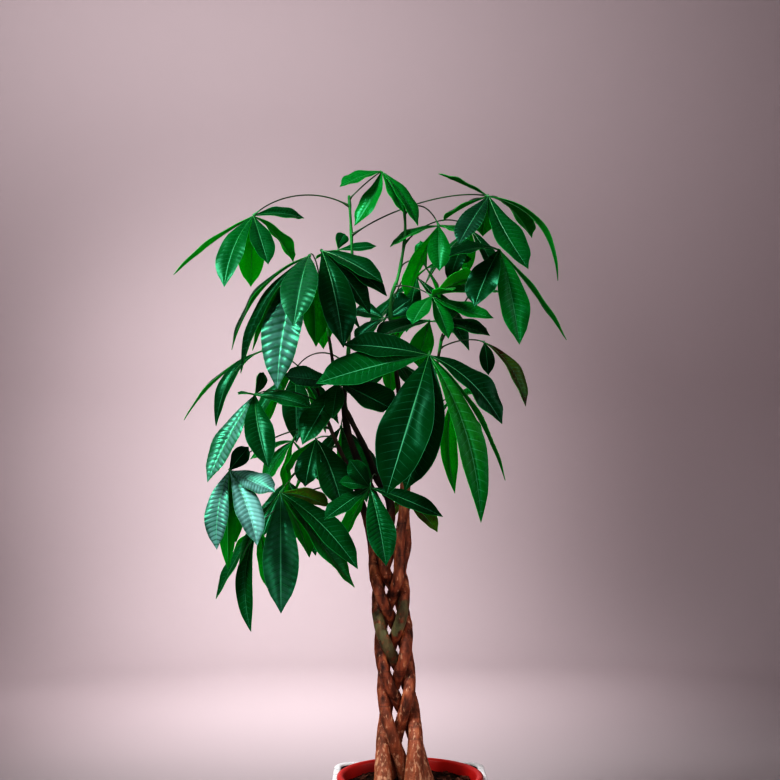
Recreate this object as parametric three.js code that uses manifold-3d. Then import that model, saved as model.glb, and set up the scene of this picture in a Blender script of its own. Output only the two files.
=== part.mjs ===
// A potted money tree: five plaited trunks with hand-shaped leaves, in a red nursery pot that
// hangs by its rim in a square white cover pot. Millimetres, +Z up, the origin at the centre of
// the cover pot's foot.
import * as THREE from 'three';
import { mergeVertices } from 'three/addons/utils/BufferGeometryUtils.js';
import Module from 'manifold-3d';

const wasm = await Module();
wasm.setup();

// Cover pot: a square with rounded corners that narrows a little towards its foot
const COVER_SIDE = 203;
const COVER_HEIGHT = 182;
const COVER_CORNER = 26;
const COVER_WALL = 9.5;
const COVER_FLOOR = 9;
const COVER_FOOT_SCALE = 0.9;
const COVER_CORNER_STEPS = 7;
const CUT_BEYOND = 5;

// Nursery pot: thin plastic, round, hung by its rolled rim
const POT_RIM_RADIUS = 95;
const POT_RIM_HEIGHT = 8;
const POT_NECK_RADIUS = 88;
const POT_BASE_RADIUS = 68;
const POT_BASE_HEIGHT = 30;
const POT_WALL = 2.4;
const DRAIN_RADIUS = 6;
const DRAIN_RING = 42;
const DRAIN_COUNT = 4;
const DRAIN_SIDES = 8;
const POT_LIP = 1.6;
const POT_SIDES = 32;

// Soil
const SOIL_DROP = 15;
const SOIL_CROWN = 4;
const SOIL_SHOULDER = 0.6 * POT_NECK_RADIUS;
const FIT = 0.35;

const POT_RIM_BOTTOM = COVER_HEIGHT + FIT;
const POT_RIM_TOP = POT_RIM_BOTTOM + POT_RIM_HEIGHT;
const SOIL_TOP = POT_RIM_TOP - SOIL_DROP;

// Plait: five strands that swing from side to side and pass over each other
const STRANDS = 5;
const PLAIT_PITCH = 262;
const PLAIT_START = 402;
const PLAIT_TOP = 455;
const PLAIT_SWING = 18;
const PLAIT_DEPTH = 14.6;
const PLAIT_STEP = 12;
const PLAIT_FOOT_ACROSS = -8;
const PLAIT_LEAN = -20;
const ROOT_DEPTH = 70;
const FOOT_SPREAD = 12;
const FOOT_SPREAD_HEIGHT = 150;
const FOOT_SLACK = 50;
const FOOT_SLACK_HEIGHT = 120;

// Stems
const STEM_SIDES = 7;
const STEM_STEPS = 40;
const STEM_PLAIT_RADIUS = 6.9;
const STEM_TIP_RADIUS = 2.6;
const SWELL_HEIGHT = 120;
const CURVE_DIVISIONS = 400;
const HEIGHT_HALVINGS = 24;

// Leaves
const PETIOLE_SIDES = 4;
const PETIOLE_STEPS = 4;
const PETIOLE_RADIUS = 1.5;
const PETIOLE_BASE_SWELL = 1.2;
const PETIOLE_BENDS = [0.3, 0.75];
const HUB_RADIUS = 5;
const BLADE_EDGE = 0.8;
const BLADE_RIB = 1.7;
const BLADE_FOLD = 0.18;
const BLADE_FACE = 0.3;
const BLADE_BOW = 0.12;
const BLADE_BOW_AT = 0.45;
const OUTWARD_LEAN = 0.9;

// Leaflet outlines: up to what length each serves, its stations along the rib, and its share of
// the full width at each
const OUTLINES = [
  { upTo: 72, at: [0, 0.55, 1], by: [0.12, 1, 0.08] },
  { upTo: 150, at: [0, 0.36, 0.7, 1], by: [0.08, 0.74, 0.95, 0.05] },
  { upTo: Infinity, at: [0, 0.26, 0.56, 0.8, 1], by: [0.07, 0.44, 1, 0.74, 0.04] },
];

// A whorl's leaflets: the shortest as a share of the longest, how fast the lengths go round, the
// width as a share of the length, and how far the upper side turns to the viewer
const WHORL_SHORTEST = 0.72;
const WHORL_WAVE = 2.6;
const WHORL_WIDTH = 0.3;
const WHORL_FACE = 0.6;

// The places in the crown are given as seen from one point in front of the plant
const EYE = new THREE.Vector3(-26, -1755, 624);

const UP = new THREE.Vector3(0, 0, 1);
const WELD = 1e-4;

// Each stem: its place in the plait, its radius in the soil, and its branch above the plait as
// points given as [across, depth, height]
const STEMS = [
  { place: 4, footRadius: 11, branch: [
    [-50, 16, 490], [-60, 10, 530], [-73, 0, 571], [-88, -10, 603], [-102, -15, 635],
    [-117, -18, 679], [-124, -18, 700]] },
  { place: 1, footRadius: 11, branch: [
    [-14, -9, 486], [-8, -3, 537], [-8, 8, 598], [-12, 10, 664], [-21, 5, 742], [-25, 0, 808],
    [-16, 0, 835], [-8, 0, 877], [-6, 0, 906], [-9, 0, 940]] },
  { place: 2, footRadius: 10, branch: [
    [-5, 13, 482], [-6, 20, 520], [-4, 26, 560], [6, 34, 610], [20, 38, 660], [34, 36, 710],
    [44, 28, 765]] },
  { place: 0, footRadius: 15, branch: [
    [-24, 18, 490], [-38, 22, 530], [-58, 20, 572], [-74, 14, 610], [-84, 8, 645], [-86, 2, 677],
    [-81, -3, 729], [-79, -3, 782], [-76, 0, 834], [-76, 0, 871], [-79, 0, 932], [-80, 0, 945]] },
  { place: 3, footRadius: 13, branch: [
    [-34, -8, 487], [-25, -2, 520], [-28, 2, 546], [-42, 2, 571], [-58, -4, 611], [-79, -14, 653],
    [-94, -12, 683], [-103, -5, 740], [-112, 5, 790], [-118, 10, 835]] },
];

const materials = {
  cover: new THREE.MeshStandardMaterial({ color: 0xe9e6e8, roughness: 0.35, metalness: 0 }),
  pot: new THREE.MeshStandardMaterial({ color: 0xb23a24, roughness: 0.45, metalness: 0 }),
  soil: new THREE.MeshStandardMaterial({ color: 0x2c1a14, roughness: 0.95, metalness: 0 }),
  bark: new THREE.MeshStandardMaterial({ color: 0x7a4630, roughness: 0.8, metalness: 0 }),
  leaf: new THREE.MeshStandardMaterial({ color: 0x0d5a2e, roughness: 0.35, metalness: 0 }),
};

// Solids

/** The closed solid of a geometry whose shared corners are merged. */
function solid(geometry) {
  const bare = geometry.index ? geometry.clone() : geometry;
  bare.deleteAttribute('normal');
  bare.deleteAttribute('uv');
  const merged = mergeVertices(bare, WELD);
  return new wasm.Manifold(new wasm.Mesh({
    numProp: 3,
    vertProperties: new Float32Array(merged.attributes.position.array),
    triVerts: new Uint32Array(merged.index.array),
  }));
}

/** A named mesh of a solid. */
function meshOf(name, shape, material) {
  const { vertProperties, triVerts } = shape.getMesh();
  const geometry = new THREE.BufferGeometry();
  geometry.setAttribute('position', new THREE.BufferAttribute(vertProperties, 3));
  geometry.setIndex(new THREE.BufferAttribute(triVerts, 1));
  geometry.computeVertexNormals();
  const mesh = new THREE.Mesh(geometry, material);
  mesh.name = name;
  return mesh;
}

/** The largest of a solid's loose bodies. */
function mainBody(shape) {
  return shape.decompose().reduce((best, body) => (body.volume() > best.volume() ? body : best));
}

/** A lathed ring or disc round +Z from points given as [radius, height]. */
function turned(points, sides) {
  const profile = points.map(([radius, height]) => new THREE.Vector2(radius, height));
  return new THREE.LatheGeometry(profile, sides).rotateX(Math.PI / 2);
}

/** A cylinder bent along a curve, its radius a function of the way along from 0 to 1. */
function tube(curve, radiusAt, sides, steps) {
  const geometry = new THREE.CylinderGeometry(1, 1, 1, sides, steps);
  const { tangents, normals, binormals } = curve.computeFrenetFrames(steps, false);
  const place = geometry.attributes.position;
  const point = new THREE.Vector3();
  for (let i = 0; i < place.count; i += 1) {
    const along = place.getY(i) + 0.5;
    const step = Math.round(along * steps);
    const radius = radiusAt(along);
    curve.getPointAt(along, point);
    point.addScaledVector(normals[step], -place.getX(i) * radius);
    point.addScaledVector(binormals[step], place.getZ(i) * radius);
    place.setXYZ(i, point.x, point.y, point.z);
  }
  return solid(geometry);
}

// Pots and soil

/** A square outline with rounded corners. */
function roundedSquare(side, corner) {
  const half = side / 2;
  const straight = half - corner;
  const outline = new THREE.Shape();
  outline.absarc(straight, straight, corner, 0, Math.PI / 2);
  outline.absarc(-straight, straight, corner, Math.PI / 2, Math.PI);
  outline.absarc(-straight, -straight, corner, Math.PI, 1.5 * Math.PI);
  outline.absarc(straight, -straight, corner, 1.5 * Math.PI, 2 * Math.PI);
  return outline;
}

/** A block with the cover pot's taper, from one height to another. */
function coverBlock(side, corner, bottom, top) {
  const geometry = new THREE.ExtrudeGeometry(roundedSquare(side, corner), {
    depth: top - bottom, bevelEnabled: false, curveSegments: COVER_CORNER_STEPS,
  });
  geometry.translate(0, 0, bottom);
  const place = geometry.attributes.position;
  for (let i = 0; i < place.count; i += 1) {
    const taper = THREE.MathUtils.lerp(COVER_FOOT_SCALE, 1, place.getZ(i) / COVER_HEIGHT);
    place.setXY(i, place.getX(i) * taper, place.getY(i) * taper);
  }
  return solid(geometry);
}

function coverPot() {
  const outside = coverBlock(COVER_SIDE, COVER_CORNER, 0, COVER_HEIGHT);
  const inside = coverBlock(COVER_SIDE - 2 * COVER_WALL, COVER_CORNER - COVER_WALL, COVER_FLOOR,
    COVER_HEIGHT + CUT_BEYOND);
  return outside.subtract(inside);
}

/** The pot's inner radius at a height, from its base to its neck. */
function potInside(height) {
  const along = (height - POT_BASE_HEIGHT) / (POT_RIM_BOTTOM - POT_BASE_HEIGHT);
  return THREE.MathUtils.lerp(POT_BASE_RADIUS, POT_NECK_RADIUS, along) - POT_WALL;
}

function nurseryPot() {
  const floor = POT_BASE_HEIGHT + POT_WALL;
  const wall = solid(turned([
    [0, POT_BASE_HEIGHT],
    [POT_BASE_RADIUS, POT_BASE_HEIGHT],
    [POT_NECK_RADIUS, POT_RIM_BOTTOM],
    [POT_RIM_RADIUS - POT_LIP, POT_RIM_BOTTOM],
    [POT_RIM_RADIUS, POT_RIM_BOTTOM + POT_LIP],
    [POT_RIM_RADIUS, POT_RIM_TOP - 2 * POT_LIP],
    [POT_RIM_RADIUS - POT_LIP, POT_RIM_TOP - POT_LIP / 2],
    [POT_RIM_RADIUS - 2 * POT_LIP, POT_RIM_TOP],
    [POT_NECK_RADIUS - POT_LIP, POT_RIM_TOP],
    [POT_NECK_RADIUS - POT_WALL, POT_RIM_BOTTOM],
    [potInside(floor), floor],
    [0, floor],
  ], POT_SIDES));
  let pot = wall;
  for (let i = 0; i < DRAIN_COUNT; i += 1) {
    const angle = (i + 0.5) * 2 * Math.PI / DRAIN_COUNT;
    const drill = new THREE.CylinderGeometry(DRAIN_RADIUS, DRAIN_RADIUS, 4 * POT_WALL, DRAIN_SIDES);
    drill.rotateX(Math.PI / 2);
    drill.translate(DRAIN_RING * Math.cos(angle), DRAIN_RING * Math.sin(angle), POT_BASE_HEIGHT);
    pot = pot.subtract(solid(drill));
  }
  return pot;
}

function soilBody(holes) {
  const floor = POT_BASE_HEIGHT + POT_WALL + FIT;
  const body = solid(turned([
    [0, floor],
    [potInside(floor) - FIT, floor],
    [potInside(SOIL_TOP) - FIT, SOIL_TOP],
    [SOIL_SHOULDER, SOIL_TOP + SOIL_CROWN / 2],
    [0, SOIL_TOP + SOIL_CROWN],
  ], POT_SIDES));
  return holes.reduce((rest, hole) => rest.subtract(hole), body);
}

// Stems

/** How far a foot's swelling has faded at a height above the soil, from 1 to 0. */
function fade(height, reach) {
  const along = THREE.MathUtils.clamp((height - SOIL_TOP) / reach, 0, 1);
  return (1 - along) ** 2;
}

/** The centre of the strand with a place in the plait at a height. */
function strandAt(strand, height) {
  const slack = FOOT_SLACK * fade(height, FOOT_SLACK_HEIGHT);
  const turn = 2 * Math.PI * ((PLAIT_START - height - slack) / PLAIT_PITCH - strand / STRANDS);
  const spread = FOOT_SPREAD * fade(height, FOOT_SPREAD_HEIGHT);
  const climbed = THREE.MathUtils.clamp((height - SOIL_TOP) / (PLAIT_TOP - SOIL_TOP), 0, 1);
  const middle = PLAIT_FOOT_ACROSS + PLAIT_LEAN * climbed;
  return new THREE.Vector3(
    middle - (PLAIT_SWING + spread) * Math.cos(turn),
    -(PLAIT_DEPTH + spread) * Math.sin(2 * turn),
    height,
  );
}

function stemCurve({ place, branch }) {
  const points = [];
  const foot = strandAt(place, SOIL_TOP);
  points.push(foot.clone().setZ(SOIL_TOP - ROOT_DEPTH), foot.clone().setZ(SOIL_TOP - ROOT_DEPTH / 2));
  for (let height = SOIL_TOP; height <= PLAIT_TOP; height += PLAIT_STEP) {
    points.push(strandAt(place, height));
  }
  for (const [across, depth, height] of branch) {
    points.push(new THREE.Vector3(across, depth, height));
  }
  const curve = new THREE.CatmullRomCurve3(points, false, 'centripetal');
  curve.arcLengthDivisions = CURVE_DIVISIONS;
  return curve;
}

/** A stem's radius at a height: swollen at the foot, thin at the tip. */
function stemRadius(footRadius, height, tipHeight) {
  const swollen = (footRadius - STEM_PLAIT_RADIUS) * fade(height, SWELL_HEIGHT);
  const above = THREE.MathUtils.clamp((height - PLAIT_TOP) / (tipHeight - PLAIT_TOP), 0, 1);
  return STEM_PLAIT_RADIUS + swollen - (STEM_PLAIT_RADIUS - STEM_TIP_RADIUS) * above;
}

function stemSolid(curve, footRadius, margin) {
  const tipHeight = curve.getPointAt(1).z;
  const radiusAt = (along) => stemRadius(footRadius, curve.getPointAt(along).z, tipHeight) + margin;
  return tube(curve, radiusAt, STEM_SIDES, STEM_STEPS);
}

// Leaves

/** A point given as seen in the plane of the pot's axis, moved to its depth along the sight line. */
function seen([across, up, depth]) {
  const inPlane = new THREE.Vector3(across, 0, up);
  return inPlane.sub(EYE).multiplyScalar((depth - EYE.y) / -EYE.y).add(EYE);
}

/** The part of a vector that stands square to a direction, at length 1. */
function squareTo(vector, direction) {
  const unit = direction.clone().normalize();
  return vector.clone().addScaledVector(unit, -vector.dot(unit)).normalize();
}

/** One leaflet: a box of two columns bent along its rib, folded and narrowed. */
function leaflet(hub, tip, width, face, bow, sway) {
  const chord = tip.clone().sub(hub);
  const length = chord.length();
  const outward = new THREE.Vector3(chord.x, chord.y, 0).normalize().multiplyScalar(OUTWARD_LEAN);
  const upper = new THREE.Vector3(0, -face, 1).add(outward);
  const lift = squareTo(upper, chord);
  const middle = hub.clone().lerp(tip, BLADE_BOW_AT).addScaledVector(lift, bow * length);
  middle.addScaledVector(lift.cross(chord), sway);
  const rib = new THREE.QuadraticBezierCurve3(hub, middle, tip);
  const outline = OUTLINES.find(({ upTo }) => length < upTo);
  const steps = outline.at.length - 1;
  const geometry = new THREE.BoxGeometry(2, 2, 1, 2, 1, steps);
  const place = geometry.attributes.position;
  for (let i = 0; i < place.count; i += 1) {
    const step = Math.round((place.getZ(i) + 0.5) * steps);
    const side = place.getX(i);
    const along = rib.getTangent(outline.at[step]);
    const normal = squareTo(upper, along);
    const across = normal.clone().cross(along);
    const reach = 0.5 * width * outline.by[step];
    const thickness = side === 0 ? BLADE_RIB : BLADE_EDGE;
    const point = rib.getPoint(outline.at[step]);
    point.addScaledVector(across, side * reach);
    point.addScaledVector(normal, BLADE_FOLD * reach * Math.abs(side) + 0.5 * thickness * place.getY(i));
    place.setXYZ(i, point.x, point.y, point.z);
  }
  return solid(geometry);
}

/** A whole leaf: petiole, hub and leaflets in one body, cut clear of its stem. */
function leaf({ stem, from, hub, lift, blades }) {
  const centre = seen(hub);
  const start = pointOnStem(stem, from);
  const span = start.distanceTo(centre);
  const petiole = new THREE.CubicBezierCurve3(
    start,
    start.clone().lerp(centre, PETIOLE_BENDS[0]).addScaledVector(UP, lift * span),
    start.clone().lerp(centre, PETIOLE_BENDS[1]).addScaledVector(UP, lift * span),
    centre,
  );
  const radiusAt = (along) => PETIOLE_RADIUS + (along === 0 ? PETIOLE_BASE_SWELL : 0);
  const parts = [
    tube(petiole, radiusAt, PETIOLE_SIDES, PETIOLE_STEPS),
    solid(new THREE.OctahedronGeometry(HUB_RADIUS).translate(centre.x, centre.y, centre.z)),
  ];
  for (const [across, up, depth, width, face = BLADE_FACE, bow = BLADE_BOW, sway = 0] of blades) {
    const tip = seen([hub[0] + across, hub[1] + up, hub[2] + depth]);
    parts.push(leaflet(centre, tip, width, face, bow, sway));
  }
  return mainBody(wasm.Manifold.union(parts).subtract(stemHoles[stem - 1]));
}

/** The centre of a stem at a height. */
function pointOnStem(stem, height) {
  const curve = stemCurves[stem - 1];
  let low = 0;
  let high = 1;
  for (let i = 0; i < HEIGHT_HALVINGS; i += 1) {
    const middle = (low + high) / 2;
    if (curve.getPointAt(middle).z < height) low = middle;
    else high = middle;
  }
  return curve.getPointAt(low);
}

/** A whorl of even leaflets, for the leaves at the back of the crown. */
function whorl(count, length, droop, start) {
  const blades = [];
  for (let i = 0; i < count; i += 1) {
    const turn = THREE.MathUtils.degToRad(start + i * 360 / count);
    const share = 0.5 + 0.5 * Math.cos(WHORL_WAVE * i + start);
    const size = length * THREE.MathUtils.lerp(WHORL_SHORTEST, 1, share);
    const flat = size * Math.cos(THREE.MathUtils.degToRad(droop));
    const down = size * Math.sin(THREE.MathUtils.degToRad(droop));
    blades.push([flat * Math.cos(turn), -down, flat * Math.sin(turn), WHORL_WIDTH * size, WHORL_FACE]);
  }
  return blades;
}

// Every leaf: its stem, the height where its petiole leaves that stem, its hub as seen
// [across, up, depth], the petiole's lift as a share of its span, and its leaflets as seen from
// the hub [across, up, depth, width, how far the upper side turns to the viewer, bow, sway]
const LEAVES = [
  { stem: 4, from: 930, hub: [-206, 918, -20], lift: 0.22, blades: [
    [-105, -78, 0, 24, 0, 0.08], [-38, -94, -60, 36, 0.6, 0.12, -0.08], [-3, -94, 45, 34],
    [20, -64, -60, 30, 0.4, 0.04], [53, -61, 50, 38, 0.4, 0.2], [67, -3, 25, 26, 0.9, 0.2]] },
  { stem: 4, from: 940, hub: [-37, 977, -5], lift: 0.05, blades: [
    [-55, -20, -25, 28, 0.9, 0.12], [-36, -72, -20, 30, 0.8, 0.02, 0.16], [29, -55, -25, 26, 0.6],
    [48, -72, -25, 28, 0.5, 0.16]] },
  { stem: 2, from: 920, hub: [38, 905, 10], lift: 0.5, blades: [
    [-64, -28, -10, 26, 0.6, 0.16], [-44, -95, 40, 42, 0.4, 0.08], [1, -60, -35, 30, 0.6],
    [36, -14, 60, 28], [40, -18, -30, 22]] },
  { stem: 4, from: 892, hub: [104, 944, -25], lift: 0.12, blades: [
    [-66, 30, 0, 22, 0, 0.04], [-40, -64, -55, 34, 0.8, 0.05], [-8, -53, 70, 34],
    [-61, -33, 35, 36, 0.5], [52, -96, -60, 42, 0.8, 0.02, -0.08], [57, -55, 55, 46, 0.5, 0.3, 0.1],
    [91, -112, 10, 26, 0, 0.46]] },
  { stem: 5, from: 817, hub: [-94, 873, 25], lift: 0.2, blades: [
    [9, 21, 10, 18, 1, 0, 0.15], [50, 5, 5, 18, 0.9, 0.03], [-30, -12, 20, 16]] },
  { stem: 3, from: 755, hub: [118, 873, -60], lift: 0.02, blades: [
    [-67, -9, -45, 32, 0.7, 0.2], [-33, -75, -40, 42, 0.8], [26, -125, -30, 40, 1],
    [88, -119, 10, 24, 0, 0.05]] },
  { stem: 2, from: 825, hub: [29, 812, -35], lift: 0.1, blades: [
    [81, -29, -35, 30, 0.9, 0.02, -0.12], [94, 4, 95, 34, 0.5], [55, 26, 40, 40, -0.4],
    [22, -56, -30, 26], [-26, -37, -45, 30], [28, 8, -60, 24]] },
  { stem: 5, from: 815, hub: [-132, 865, -75], lift: 0.25, blades: [
    [-102, -124, -10, 34, 0.2, 0.3], [-90, -155, -35, 32, 0.3, 0.25], [-75, -125, 30, 30],
    [-42, -176, -60, 50, 0.8, 0.12, -0.08], [-21, -93, -95, 44, 0.7, 0.2], [9, -120, 35, 36]] },
  { stem: 5, from: 828, hub: [-116, 872, -40], lift: 0.25, blades: [
    [29, -128, -55, 46, 0.7, 0.2], [81, -42, -40, 34, 1.1], [86, -60, -20, 34, 1, 0.14],
    [64, -84, -12, 38, 0.8]] },
  { stem: 5, from: 655, hub: [-94, 699, -40], lift: 0.2, blades: [
    [-71, 8, -30, 34, 1.2, 0], [72, -36, -20, 56, 1, 0.04], [-47, -82, -40, 42, 0.8, 0.1, 0.06],
    [-8, -48, -45, 24]] },
  { stem: 1, from: 668, hub: [-203, 682, -70], lift: 0.15, blades: [
    [-22, 1, -25, 14], [11, 30, 10, 17, 0.6], [73, -16, -20, 26, 1], [-62, -114, -40, 36, 0.7, 0.08],
    [18, -95, -60, 36, 0.9, 0.12, -0.08]] },
  { stem: 1, from: 690, hub: [-194, 740, -5], lift: 0.2, blades: [
    [-102, -91, 0, 26, 0.2, 0.2], [-60, -99, -35, 25, 0.5, 0.42], [30, -50, 50, 28]] },
  { stem: 1, from: 638, hub: [-236, 583, -80], lift: 0.16, blades: [
    [60, -28, -30, 34, 1.3, 0], [37, -98, -55, 34, 0.8, 0.12, 0.05],
    [-16, -103, -35, 30, 0.8, 0.12, -0.1], [-24, -88, 30, 24, 0.5], [-1, -130, 10, 22],
    [9, -94, 50, 26], [25, 31, -15, 22, 0.6]] },
  { stem: 1, from: 615, hub: [-169, 554, -60], lift: 0.15, blades: [
    [1, -157, -45, 44, 0.8], [-54, -93, -10, 28], [101, -99, -40, 42, 0.8, 0.12, 0.06],
    [97, -123, 25, 44, 0.9, 0.05, -0.06], [65, -18, 25, 30, -1, 0.2], [38, -84, 55, 34]] },
  { stem: 3, from: 690, hub: [25, 734, -95], lift: 0.2, blades: [
    [-148, -37, -45, 54, 1.2, 0.08], [-56, -184, -60, 64, 0.8, 0.2, 0.05],
    [-32, -178, -12, 60, 0.9, 0.12, 0.16], [68, -219, -35, 42, 0.8, 0.18, 0.05],
    [100, -164, 30, 26, 0.2, 0.16], [96, -90, -5, 48, 1.1, 0.2, 0.08],
    [-112, 14, -10, 42, 1, 0.1]] },
  { stem: 5, from: 575, hub: [-52, 561, -75], lift: 0.15, blades: [
    [-27, 36, -20, 24, 1], [-41, 7, -20, 20, 1], [-60, -42, -40, 30, 0.8, 0.05],
    [21, -102, -40, 36, 0.8], [95, -38, -25, 30, 1, 0.08], [-33, -66, 35, 30]] },
  { stem: 3, from: 540, hub: [-10, 548, 48], lift: 0.1, blades: [
    [46, -45, 25, 28, -0.8, 0.2], [-20, -35, 40, 22]] },
  { stem: 3, from: 745, hub: [98, 751, 30], lift: 0.15, blades: [
    [54, -84, -15, 32, 0.6, 0.3], [5, -43, -40, 20]] },
  { stem: 2, from: 755, hub: [26, 779, -20], lift: 0.2, blades: [
    [79, -19, -25, 38, 0.6], [-70, -21, -30, 44, 0.6], [-15, -60, 45, 36]] },
  { stem: 1, from: 625, hub: [-123, 624, -30], lift: 0.15, blades: [
    [35, -90, -35, 48, 0.8, 0.2], [-14, -62, -35, 34, 0.6], [-38, -45, 28, 30], [10, -60, 45, 32]] },
  { stem: 1, from: 560, hub: [-199, 509, 0], lift: 0.2, blades: [
    [-54, -93, -15, 25, 0.5, 0.1], [-8, -136, -10, 24, 0.6, 0.1, -0.16], [16, -84, 30, 32],
    [-25, -40, 40, 26]] },
  { stem: 3, from: 640, hub: [55, 677, 60], lift: 0.2, blades: [
    [4, -124, 20, 24, 0.3, 0.06, 0.12], [40, -60, 30, 30], [-40, -70, -5, 32], [60, 10, 40, 28]] },
  { stem: 2, from: 770, hub: [-33, 782, 45], lift: 0.2, blades: [
    [-38, -30, 0, 36, 0.8], [-6, -46, 10, 32, 0.7], [35, 26, 0, 34, 0.9], [-40, 12, 20, 28, 0.8]] },
  { stem: 2, from: 850, hub: [22, 849, 78], lift: 0.15, blades: [
    [-8, 36, 0, 22, 0.8], [-29, -34, 20, 30, 0.6], [17, -44, 10, 32, 0.7], [60, 12, 0, 30, 0.8]] },
  { stem: 1, from: 660, hub: [-153, 622, 20], lift: 0.2, blades: [
    [-36, -52, -10, 34, 0.7], [-6, -70, 10, 32, 0.7], [-56, -24, 10, 26, 0.6],
    [26, -50, 20, 30, 0.7]] },
  { stem: 5, from: 790, hub: [-125, 835, 95], lift: 0.2, blades: whorl(5, 125, 48, 10) },
  { stem: 2, from: 790, hub: [10, 836, 140], lift: 0.2, blades: whorl(5, 125, 50, 40) },
  { stem: 2, from: 880, hub: [80, 900, 100], lift: 0.2, blades: whorl(5, 105, 50, 25) },
  { stem: 4, from: 720, hub: [-150, 715, 110], lift: 0.2, blades: whorl(5, 125, 50, 55) },
  { stem: 1, from: 590, hub: [-160, 570, 95], lift: 0.15, blades: whorl(5, 120, 55, 15) },
  { stem: 4, from: 640, hub: [-90, 640, 140], lift: 0.15, blades: whorl(5, 125, 52, 80) },
  { stem: 3, from: 660, hub: [-25, 728, 125], lift: 0.15, blades: whorl(5, 92, 36, 18) },
];

const stemCurves = STEMS.map(stemCurve);
const stemHoles = STEMS.map(({ footRadius }, i) => stemSolid(stemCurves[i], footRadius, FIT));

const moneyTree = new THREE.Group();
moneyTree.name = 'money_tree';
moneyTree.add(meshOf('cover_pot', coverPot(), materials.cover));
moneyTree.add(meshOf('nursery_pot', nurseryPot(), materials.pot));
moneyTree.add(meshOf('soil', soilBody(stemHoles), materials.soil));
STEMS.forEach(({ footRadius }, i) => {
  moneyTree.add(meshOf(`stem_${i + 1}`, stemSolid(stemCurves[i], footRadius, 0), materials.bark));
});
LEAVES.forEach((each, index) => {
  const name = `leaf_${String(index + 1).padStart(2, '0')}`;
  moneyTree.add(meshOf(name, leaf(each), materials.leaf));
});

export default moneyTree;
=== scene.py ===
"""Looks of the potted money tree: plaited trunks, fronds, soil and pots, dressed round the frame.

Sizes are in millimetres until a piece is finished, and metres in the scene. The places of the
stems and of the leaves repeat the part's own lists.
"""
import logging
import math
import random
from collections.abc import Callable, Sequence
from dataclasses import dataclass, field
from enum import Enum, IntEnum

import bpy
from mathutils import Matrix, Vector, noise

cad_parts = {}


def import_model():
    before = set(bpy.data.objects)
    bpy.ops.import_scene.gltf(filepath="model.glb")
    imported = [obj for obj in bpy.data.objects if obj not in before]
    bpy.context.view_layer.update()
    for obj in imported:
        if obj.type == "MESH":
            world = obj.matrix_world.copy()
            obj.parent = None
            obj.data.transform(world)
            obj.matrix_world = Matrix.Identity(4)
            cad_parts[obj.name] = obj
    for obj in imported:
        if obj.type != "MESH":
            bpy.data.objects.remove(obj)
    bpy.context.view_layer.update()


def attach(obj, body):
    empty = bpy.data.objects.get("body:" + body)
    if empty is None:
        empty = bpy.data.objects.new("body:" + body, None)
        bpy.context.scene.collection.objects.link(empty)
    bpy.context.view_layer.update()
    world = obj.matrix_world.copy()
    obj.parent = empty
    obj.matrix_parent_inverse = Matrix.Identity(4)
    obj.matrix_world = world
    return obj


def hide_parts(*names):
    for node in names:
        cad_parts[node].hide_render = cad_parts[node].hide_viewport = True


LOG = logging.getLogger("money_tree")

Colour = tuple[float, float, float]
Place = tuple[float, float, float]
Pair = tuple[float, float]
Material = bpy.types.Material
Piece = bpy.types.Object
Socket = bpy.types.NodeSocket

MM = 0.001
BODY = "root"

# The photograph's camera
EYE = Vector((-26, -1755, 624))
EYE_TILT = math.radians(2.1)
PHOTO_SIDE = 780
PHOTO_FOCAL = 1340
SENSOR = 36.0

# The gap between pieces that touch
FIT = 0.35

# Lengths in metres that differ by less are the same; a face whose normal points up more is level
CLOSE = 0.00001
LEVEL = 0.9

# The levels and radii that several pieces share: the cover pot's edge, the nursery pot and the soil
COVER_HEIGHT = 182
POT_RIM_HEIGHT = 8
POT_NECK_RADIUS = 88
POT_BASE_RADIUS = 68
POT_BASE_HEIGHT = 30
POT_WALL = 2.4
POT_RIM_BOTTOM = COVER_HEIGHT + FIT
POT_RIM_TOP = POT_RIM_BOTTOM + POT_RIM_HEIGHT
SOIL_TOP = POT_RIM_TOP - 15

# A whorl's leaflets: the shortest as a share of the longest, how fast the lengths go round, the
# width as a share of the length, and how far the upper side turns to the viewer
WHORL_SHORTEST = 0.72
WHORL_WAVE = 2.6
WHORL_WIDTH = 0.3
WHORL_FACE = 0.6

# Side veins on a leaflet
VEINS = 18


@dataclass(frozen=True)
class StemPlan:
    """A stem: its place in the plait, its radius in the soil and its branch's points above it.

    Fields:
        place: its place in the plait, from 0.
        foot_radius: its radius where it enters the soil.
        branch: the points above the plait as (across, depth, height).
        taper: how early it thins above the plait; 1 is even.
        mossy: the heights between which its bark is green.
        painted_shade_from: the height from which painted shade makes its bark nearly black, where the
            crown shades it.
    """

    place: int
    foot_radius: float
    branch: list[Place]
    taper: float = 2.0
    mossy: Pair = (0, 0)
    painted_shade_from: float = 500


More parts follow.
